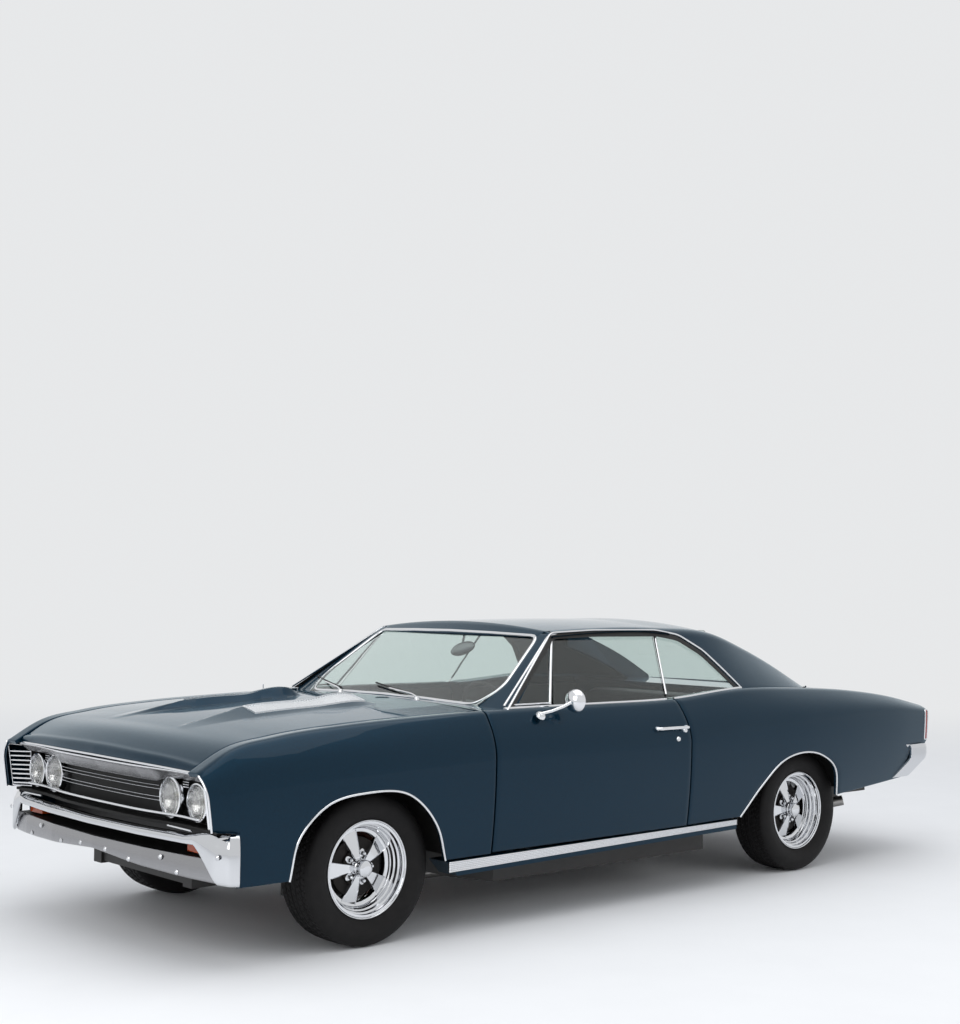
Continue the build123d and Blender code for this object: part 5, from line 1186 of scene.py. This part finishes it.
path = even(REAR_LINE, 110, 0.02)
path = np.concatenate([path[:0:-1] * (-1, 1), path])
rear_section = rounded([(0.050, 0.630), (0.012, 0.627), (0.000, 0.612), (0.000, 0.562), (0.012, 0.540),
                        (0.150, 0.452), (0.165, 0.446)], 0.012, 4)
rear_face = np.stack(np.broadcast_arrays(path[:, 1] + rear_section[:, :1],
                                         path[:, 0] * (1 - 0.02 * rear_section[:, :1] / 0.165),
                                         rear_section[:, 1:]), -1)
piece("rear_bumper_face", hemmed([faced(rear_face, (-1, 0, 0))], radius=0.003, depth=0.012), bumper_chrome,
      "body", ["rear_bumper"])
rear_bolts = [facing(BOLT, (float(along(REAR_LINE[:4], 1, y)) + 0.001, side * y, z), (-1, 0.1 * side, 0), 18)
              for y, z in REAR_BOLTS for side in (1, -1)]
piece("rear_bumper_bolts", rear_bolts, bumper_chrome, "body")

tail_lens, tree, shader = new_material("tail_lens", {"Roughness": 0.10, "Coat Weight": 0.6})
rib = ribbed_along(tree, "Z", 90)
raised(tree, shader, rib, 0.5, 0.001)
# The lens's red follows its ribs, lighter on each crest and darker in each trough: painted light and shade on
# the ribs, over the same ribs' bump.
rib_painted_shade = linked(tree, "ShaderNodeMapRange", {"Value": rib, "From Min": -1.0, "To Min": 0.0, "To Max": 1.0})
tint = linked(tree, "ShaderNodeMix", {0: rib_painted_shade.outputs[0], 6: (0.10, 0.002, 0.002, 1),
                                      7: (0.42, 0.008, 0.006, 1)}, data_type="RGBA")
tree.links.new(tint.outputs[2], shader.inputs["Base Color"])

lenses, frames = [], []
for side in (1, -1):
    outline = [(side * y, z) for y, z in TAIL_LAMP]
    lenses.append(pillow(outline, -2.4125, -0.012))
    ring = round_lamp(outline, 80)[:-1]
    frames.append(moulding(np.column_stack([np.full(len(ring), -2.4135), ring]), (-1, 0, 0),
                           half_round(0.012, 0.011), ring=True))
for z in (0.634, 0.806):
    strip = even([(-2.413, -0.548, z), (-2.413, 0.548, z)], 60)
    frames.append(moulding(strip, (-1, 0, 0), half_round(0.008, 0.005)))
marker_z, marker_x = np.meshgrid(np.linspace(0.652, 0.816, 12), np.linspace(-2.408, -2.384, 5), indexing="ij")
marker = np.stack([marker_x, body_y(marker_x, marker_z) + 0.0015, marker_z], -1)
for side in (1, -1):
    ring = even(rounded(MARKER_EDGE, 0.010, 5), 70)[:-1]
    ring = np.column_stack([ring[:, 0], side * (body_y(ring[:, 0], ring[:, 1]) + 0.001), ring[:, 1]])
    frames.append(moulding(ring, (0, side, 0), half_round(0.007, 0.005), ring=True))
lenses += both(hemmed([faced(marker)], radius=0.001, depth=0.003))
piece("tail_lamp_lenses", lenses, tail_lens, "body", ["tail_lamps"])
piece("tail_bright_frames", frames, bright_trim, "body")

# The cabin behind the glass: pleated black vinyl seats, door and quarter linings, a dark headliner, and
# the mirror that hangs from the windshield header.
def add_pebbles(name):
    """A shared effect: the height of a fine pebble grain, from the distance to each cell's middle."""
    group, entry, leave = shared_effect(name, {"Scale": "Float"}, {"Height": "Float"})
    cells = linked(group, "ShaderNodeTexVoronoi", {"Vector": object_place(group),
                                                   "Scale": entry.outputs["Scale"]})
    group.links.new(cells.outputs["Distance"], leave.inputs["Height"])
    return group


pebbles = add_pebbles("pebble_grain")


def grained(name, colour, roughness, scale):
    """Moulded or sewn trim: one colour, slightly mottled, with a fine pebble grain in its surface."""
    material, tree, shader = new_material(name, {"Roughness": roughness})
    mottled(tree, shader, 30.0, 4.0, colour, [2.2 * c for c in colour])
    grain = linked(tree, "ShaderNodeGroup", {"Scale": scale}, node_tree=pebbles)
    raised(tree, shader, grain.outputs["Height"], 0.35, 0.0005)
    return material


seat_vinyl = grained("seat_vinyl", (0.010, 0.010, 0.012), 0.45, 600.0)
cabin_plastic = grained("cabin_plastic", (0.008, 0.008, 0.009), 0.55, 450.0)
headliner_cloth = grained("headliner_cloth", (0.012, 0.012, 0.013), 0.85, 900.0)
PAD_CROWN = 0.22


def pad(name, centre, half, tilt, pleats):
    """A padded seat piece: a box whose corners are rounded by the seventh power rule, crowned on its
    outer side, with its long sides drawn in and sewn channels across its middle."""
    t = np.linspace(-1, 1, 41)
    u, v = np.meshgrid(t, t, indexing="ij")
    one = np.ones_like(u)
    sheets = []
    for axis in range(3):
        for sign in (1, -1):
            cube = np.stack(np.roll([sign * one, u, v], axis, axis=0), -1)
            round_box = cube / (np.abs(cube) ** 7).sum(-1, keepdims=True) ** (1 / 7)
            x, y, z = np.moveaxis(round_box, -1, 0)
            y = y * (1 - 0.05 * (1 - x**2))
            inside = (np.abs(x) < 0.80) & (np.abs(y) < 0.80) & (z > 0.5)
            channel = np.abs(np.sin(np.pi * (y / 0.80) * pleats / 2)) ** 0.4
            edge = np.clip((0.80 - np.maximum(np.abs(x), np.abs(y))) / 0.06, 0, 1)
            crown = 1 + PAD_CROWN * (1 - x**2) * (1 - y**2) * (z > 0)
            z = z * crown - 0.10 * inside * (1 - channel) * edge
            seam = np.exp(-((np.maximum(np.abs(x), np.abs(y)) - 0.82) / 0.02) ** 2) * (z > 0.5)
            points = np.stack([x, y, z - 0.10 * seam], -1) * half
            c, s = math.cos(tilt), math.sin(tilt)
            turned_points = np.stack([c * points[..., 0] + s * points[..., 2], points[..., 1],
                                      -s * points[..., 0] + c * points[..., 2]], -1) + centre
            way = np.zeros(3)
            way[axis] = sign
            way = np.array([c * way[0] + s * way[2], way[1], -s * way[0] + c * way[2]])
            sheets.append(faced(turned_points, way))
    piece(name, sheets, seat_vinyl, "body", crease=80, weld=1e-4)


BACK_LEAN, REST_LEAN = math.radians(-76) + math.pi, math.radians(-72) + math.pi
for hand, side in (("left", 1), ("right", -1)):
    pad(f"seat_cushion_{hand}", (0.235, side * 0.41, 0.372), (0.250, 0.238, 0.066), 0.06, 6)
    pad(f"seat_back_{hand}", (-0.100, side * 0.41, 0.640), (0.245, 0.228, 0.050), BACK_LEAN, 6)
pad("rear_cushion", (-0.790, 0, 0.548), (0.205, 0.560, 0.040), -0.05, 14)
pad("rear_backrest", (-1.062, 0, 0.748), (0.185, 0.560, 0.034), REST_LEAN, 14)
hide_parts("front_seats")
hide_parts("rear_seat")

# Linings: pressed cards on the doors, with an armrest rolled into each, and beside the rear seat
card_z, card_x = np.meshgrid(np.linspace(0.390, 0.935, 60), np.linspace(0.985, -0.200, 90), indexing="ij")
rest = soft_step((0.26 - np.abs(card_x - 0.30)) / 0.05) * np.exp(-((card_z - 0.640) / 0.030) ** 2)
card_y = 0.830 - 0.045 * rest + 0.02 * (card_z > 0.90) * (card_z - 0.90) / 0.035
card = np.stack([card_x, card_y, card_z], -1)
lining_z, lining_x = np.meshgrid(np.linspace(0.520, 0.930, 30), np.linspace(-0.290, -1.180, 50),
                                 indexing="ij")
quarter_lining = np.stack([lining_x, np.full_like(lining_x, 0.800), lining_z], -1)
door_card = hemmed([faced(card, (0, -1, 0))], radius=0.008, depth=0.050)
mat_share = np.linspace(-1, 1, 61)[None]
mat_rear = np.interp(np.abs(mat_share), [0, 0.86, 0.93, 1], [-2.366, -2.366, -2.330, -2.245])
mat_x = -1.668 + (mat_rear + 1.668) * np.linspace(0, 1, 30)[:, None]
mat = np.stack([mat_x, mat_share * (body_y(mat_x, 0.450) - 0.014), np.full(mat_x.shape, 0.4485)], -1)
mat = np.concatenate([mat, mat[-1:] + (-0.002, 0, 0.030), mat[-1:] + (-0.003, 0, 0.060)])
piece("trunk_mat", hemmed([faced(mat, (0, 0, 1))], radius=0.001, depth=0.003), seat_vinyl, "body")
piece("door_card_left", door_card, seat_vinyl, "door_left")
piece("door_card_right", mirror(door_card), seat_vinyl, "door_right")
piece("quarter_linings", both(hemmed([faced(quarter_lining, (0, -1, 0))], radius=0.008, depth=0.020)),
      seat_vinyl, "body")
roof_x = np.linspace(0.425, -0.830, 50)[:, None]
roof_share = np.linspace(-0.92, 0.92, 41)[None]
liner_y = roof_share * along(ROOF, 2, roof_x)
liner_x = np.broadcast_to(roof_x, liner_y.shape)
liner = np.stack([liner_x, liner_y, roof_top_z(liner_x, liner_y) - 0.022], -1)
piece("headliner", hemmed([faced(liner, (0, 0, -1))], radius=0.006, depth=0.006), headliner_cloth, "body")

# The inside mirror: an oval head on a stem from the header
mirror_head, mirror_faces = turned([(0.0, 0.012), (0.070, 0.011), (0.092, 0.006), (0.096, 0.0),
                                    (0.092, -0.005), (0.0, -0.007)], 40)
head_y, head_x, head_z = np.moveaxis(mirror_head * (1, 1, 0.34), -1, 0)
lean = math.radians(14)
mirror_head = np.stack([head_x, head_y * math.cos(lean) - head_z * math.sin(lean),
                        head_y * math.sin(lean) + head_z * math.cos(lean)], -1) + (0.435, 0.010, 1.195)
stem = moulding(even([(0.432, 0.0, 1.200), (0.415, 0.0, 1.260), (0.405, 0.0, 1.300)], 12), (1, 0, 0),
                half_round(0.012, 0.008))
piece("inside_mirror", [outward((mirror_head, mirror_faces)), stem], satin_steel, "body")

# Small bright controls outside: the round mirror on its curved arm, the door handles with their push
# buttons and locks, and the wipers. They are plated metal, turned from a profile or drawn along a path.
def along_tube(path, radius, count=12, flat=1.0):
    """A tube along a path, closed at its ends; flat squashes it upwards."""
    angle = np.linspace(0, 2 * np.pi, count, endpoint=False)
    return moulding(path, (0, 0, 1), np.column_stack([radius * np.cos(angle), radius * flat * np.sin(angle)]))


mirror_shell = [(0.0, 0.026), (0.020, 0.024), (0.040, 0.014), (0.051, 0.002), (0.054, -0.010),
                (0.051, -0.014), (0.047, -0.011), (0.0, -0.011)]
arm = even(smooth_path([(0.765, 0.930), (0.700, 0.944), (0.640, 0.956), (0.592, 0.964)], 30), 30)
arm_z = np.interp(arm[:, 0], [0.592, 0.640, 0.700, 0.765], [0.988, 0.968, 0.950, 0.938])
mirror_arm = along_tube(np.column_stack([arm, arm_z]), 0.0075)
mirror_foot = facing([(0.0, 0.016), (0.014, 0.013), (0.022, 0.004), (0.024, -0.006), (0.0, -0.006)],
                     (0.750, 0.926, 0.932), (0, 0.6, 0.8))
piece("door_mirror", [facing(mirror_shell, (0.575, 0.965, 0.993), (1, 0.25, 0.05)), mirror_arm, mirror_foot],
      bright_trim, "door_left", ["mirror_left"])
HANDLE_FEET = [(-0.006, 0.955, 0.834), (-0.214, 0.955, 0.832)]
HANDLE_FOOT = [(0.0, 0.006), (0.007, 0.005), (0.010, 0.002), (0.011, -0.008), (0.0, -0.008)]
PUSH_BUTTON = [(0.0, 0.018), (0.009, 0.017), (0.0115, 0.013), (0.012, -0.004), (0.0, -0.004)]
DOOR_LOCK = [(0.0, 0.004), (0.004, 0.0055), (0.010, 0.0055), (0.0125, 0.002), (0.013, -0.004), (0.0, -0.004)]
LOCK_X, LOCK_Z = -0.152, 0.777
for hand, side in (("left", 1), ("right", -1)):
    grip = even([(0.000, 0.955, 0.834), (-0.010, 0.976, 0.835), (-0.120, 0.979, 0.835),
                 (-0.205, 0.976, 0.833), (-0.226, 0.955, 0.832)], 40, 0.012)
    sheets = [moulding(grip, (0, 1, 0.2), half_round(0.016, 0.008))]
    sheets += [facing(HANDLE_FOOT, foot, (0, 1, 0)) for foot in HANDLE_FEET]
    sheets.append(facing(PUSH_BUTTON, (-0.192, 0.956, 0.818), (0, 1, 0), 24))
    sheets.append(facing(DOOR_LOCK, (LOCK_X, float(body_y(LOCK_X, LOCK_Z)) + 0.001, LOCK_Z), (0, 1, 0), 24))
    if side < 0:
        sheets = mirror(sheets)
    piece(f"door_handle_lock_{hand}", sheets, bright_trim, f"door_{hand}",
          [f"door_handle_{hand}"])

wiper_black = grained("wiper_rubber", (0.006, 0.006, 0.006), 0.6, 200.0)
WIPER_PIVOT = [(0.0, 0.024), (0.008, 0.022), (0.013, 0.014), (0.014, -0.004), (0.0, -0.004)]
arms, blades = [], []
for y, z in ((-0.280, 0.972), (0.330, 0.970)):
    tip_y = y - 0.315
    tip = (float(screen_x(np.array(tip_y), np.array(1.012))) + 0.014, tip_y, 1.012)
    arms.append(facing(WIPER_PIVOT, (0.992, y, z), (0.2, 0, 1), 24))
    arms.append(along_tube(even([(0.992, y, z + 0.016), (0.972, y - 0.060, z + 0.030), tip], 14, 0.02),
                           0.0045, 8))
    blade_y = np.linspace(tip_y - 0.155, tip_y + 0.205, 30)
    blade_z = np.interp(blade_y, [blade_y[0], blade_y[-1]], [1.030, 0.994])
    blades.append(along_tube(np.stack([screen_x(blade_y, blade_z) + 0.006, blade_y, blade_z], -1), 0.0045, 8))
piece("wiper_arms", arms, bright_trim, "body", ["wipers"])
piece("wiper_blades", blades, wiper_black, "body")

# Black seals between the drip rails and the side glass
rail_line = even([(0.895, 0.957), (0.430, 1.286), (0.150, 1.294), (-0.300, 1.290), (-0.455, 1.266),
                  (-0.596, 1.187), (-0.696, 1.085), (-0.768, 1.004)], 110, 0.030)
way = unit(np.gradient(rail_line, axis=0))
outset = np.interp(rail_line[:, 0], [-0.7, -0.4], [0.013, 0.008])[:, None]
rail_line = rail_line + np.column_stack([-way[:, 1], way[:, 0]]) * outset
seal = np.stack([rail_line[:, 0], roof_y(rail_line[:, 0], rail_line[:, 1]) + 0.0005, rail_line[:, 1]], -1)
piece("window_seals", both([moulding(seal, SIDE_OUT, half_round(0.028, 0.002))]), wiper_black, "body")

# Glass, and the finish of the pieces that keep their modelled form: the chassis, the running gear and the
# cabin's shells. Dirt lies thicker low down on them, as on a car that is driven.
def add_grime(name):
    """A shared effect: soft dirt from two scales of noise, thicker low down on the car."""
    group, entry, leave = shared_effect(name, {"Scale": "Float", "Amount": "Float"}, {"Mask": "Float"})
    place = object_place(group)
    fine = linked(group, "ShaderNodeTexNoise", {"Vector": place, "Scale": entry.outputs["Scale"],
                                                "Detail": 6.0})
    height = linked(group, "ShaderNodeSeparateXYZ", {0: place})
    low = linked(group, "ShaderNodeMapRange", {"Value": height.outputs["Z"], "From Min": 0.1, "From Max": 0.8,
                                               "To Min": 1.0, "To Max": 0.35})
    both_ways = linked(group, "ShaderNodeMath", {0: fine.outputs["Fac"], 1: low.outputs[0]},
                       operation="MULTIPLY")
    mask = linked(group, "ShaderNodeMath", {0: both_ways.outputs[0], 1: entry.outputs["Amount"]},
                  operation="MULTIPLY")
    group.links.new(mask.outputs[0], leave.inputs["Mask"])
    return group


grime, GRIME_SCALE = add_grime("soft_grime"), 12.0


def finish_of(name, colour, roughness, dirt, metallic=0.0, dust=(0.10, 0.09, 0.08)):
    """A plain finish with soft dirt over it."""
    material, tree, shader = new_material(name, {"Metallic": metallic, "Roughness": roughness})
    mask = linked(tree, "ShaderNodeGroup", {"Scale": GRIME_SCALE, "Amount": dirt},
                  node_tree=grime).outputs["Mask"]
    tint = linked(tree, "ShaderNodeMix", {0: mask, 6: (*colour, 1), 7: (*dust, 1)}, data_type="RGBA")
    tree.links.new(tint.outputs[2], shader.inputs["Base Color"])
    return material


window_glass, tree, shader = new_material("window_glass", {"Base Color": (0.80, 0.88, 0.86, 1), **GLASS})
smear = linked(tree, "ShaderNodeTexNoise", {"Vector": object_place(tree), "Scale": 7.0, "Detail": 3.0})
rough = linked(tree, "ShaderNodeMapRange", {"Value": smear.outputs["Fac"], "To Min": 0.0, "To Max": 0.02})
tree.links.new(rough.outputs[0], shader.inputs["Roughness"])

chassis_black = finish_of("chassis_black", (0.007, 0.007, 0.0075), 0.5, dirt=0.35, dust=(0.05, 0.045, 0.04))
exhaust_steel = finish_of("exhaust_steel", (0.42, 0.41, 0.40), 0.35, dirt=0.5, metallic=1.0)
park_lens = finish_of("park_lens", (0.42, 0.055, 0.004), 0.12, dirt=0.05)
engine_paint = finish_of("engine_paint", (0.30, 0.05, 0.01), 0.4, dirt=0.6)
FINISHES = {
    "body_paint": paint, "window_glass": window_glass, "tyre": rubber, "wheel_chrome": wheel_chrome,
    "trim_chrome": bright_trim, "lamp_glass": lens_glass, "tail_lens": tail_lens, "park_lens": park_lens,
    "seat_vinyl": seat_vinyl, "cabin_plastic": cabin_plastic, "exhaust_steel": exhaust_steel,
    "grille_black": grille_black, "chassis_black": chassis_black,
}
SPECIAL = {"engine": engine_paint}
SLOT_OF = {part["node"]: part["material_slot"] for part in frame["record"]["subparts"]}
for node, made in NODES.items():
    made.data.materials.clear()
    made.data.materials.append(SPECIAL.get(node, FINISHES[SLOT_OF[node]]))
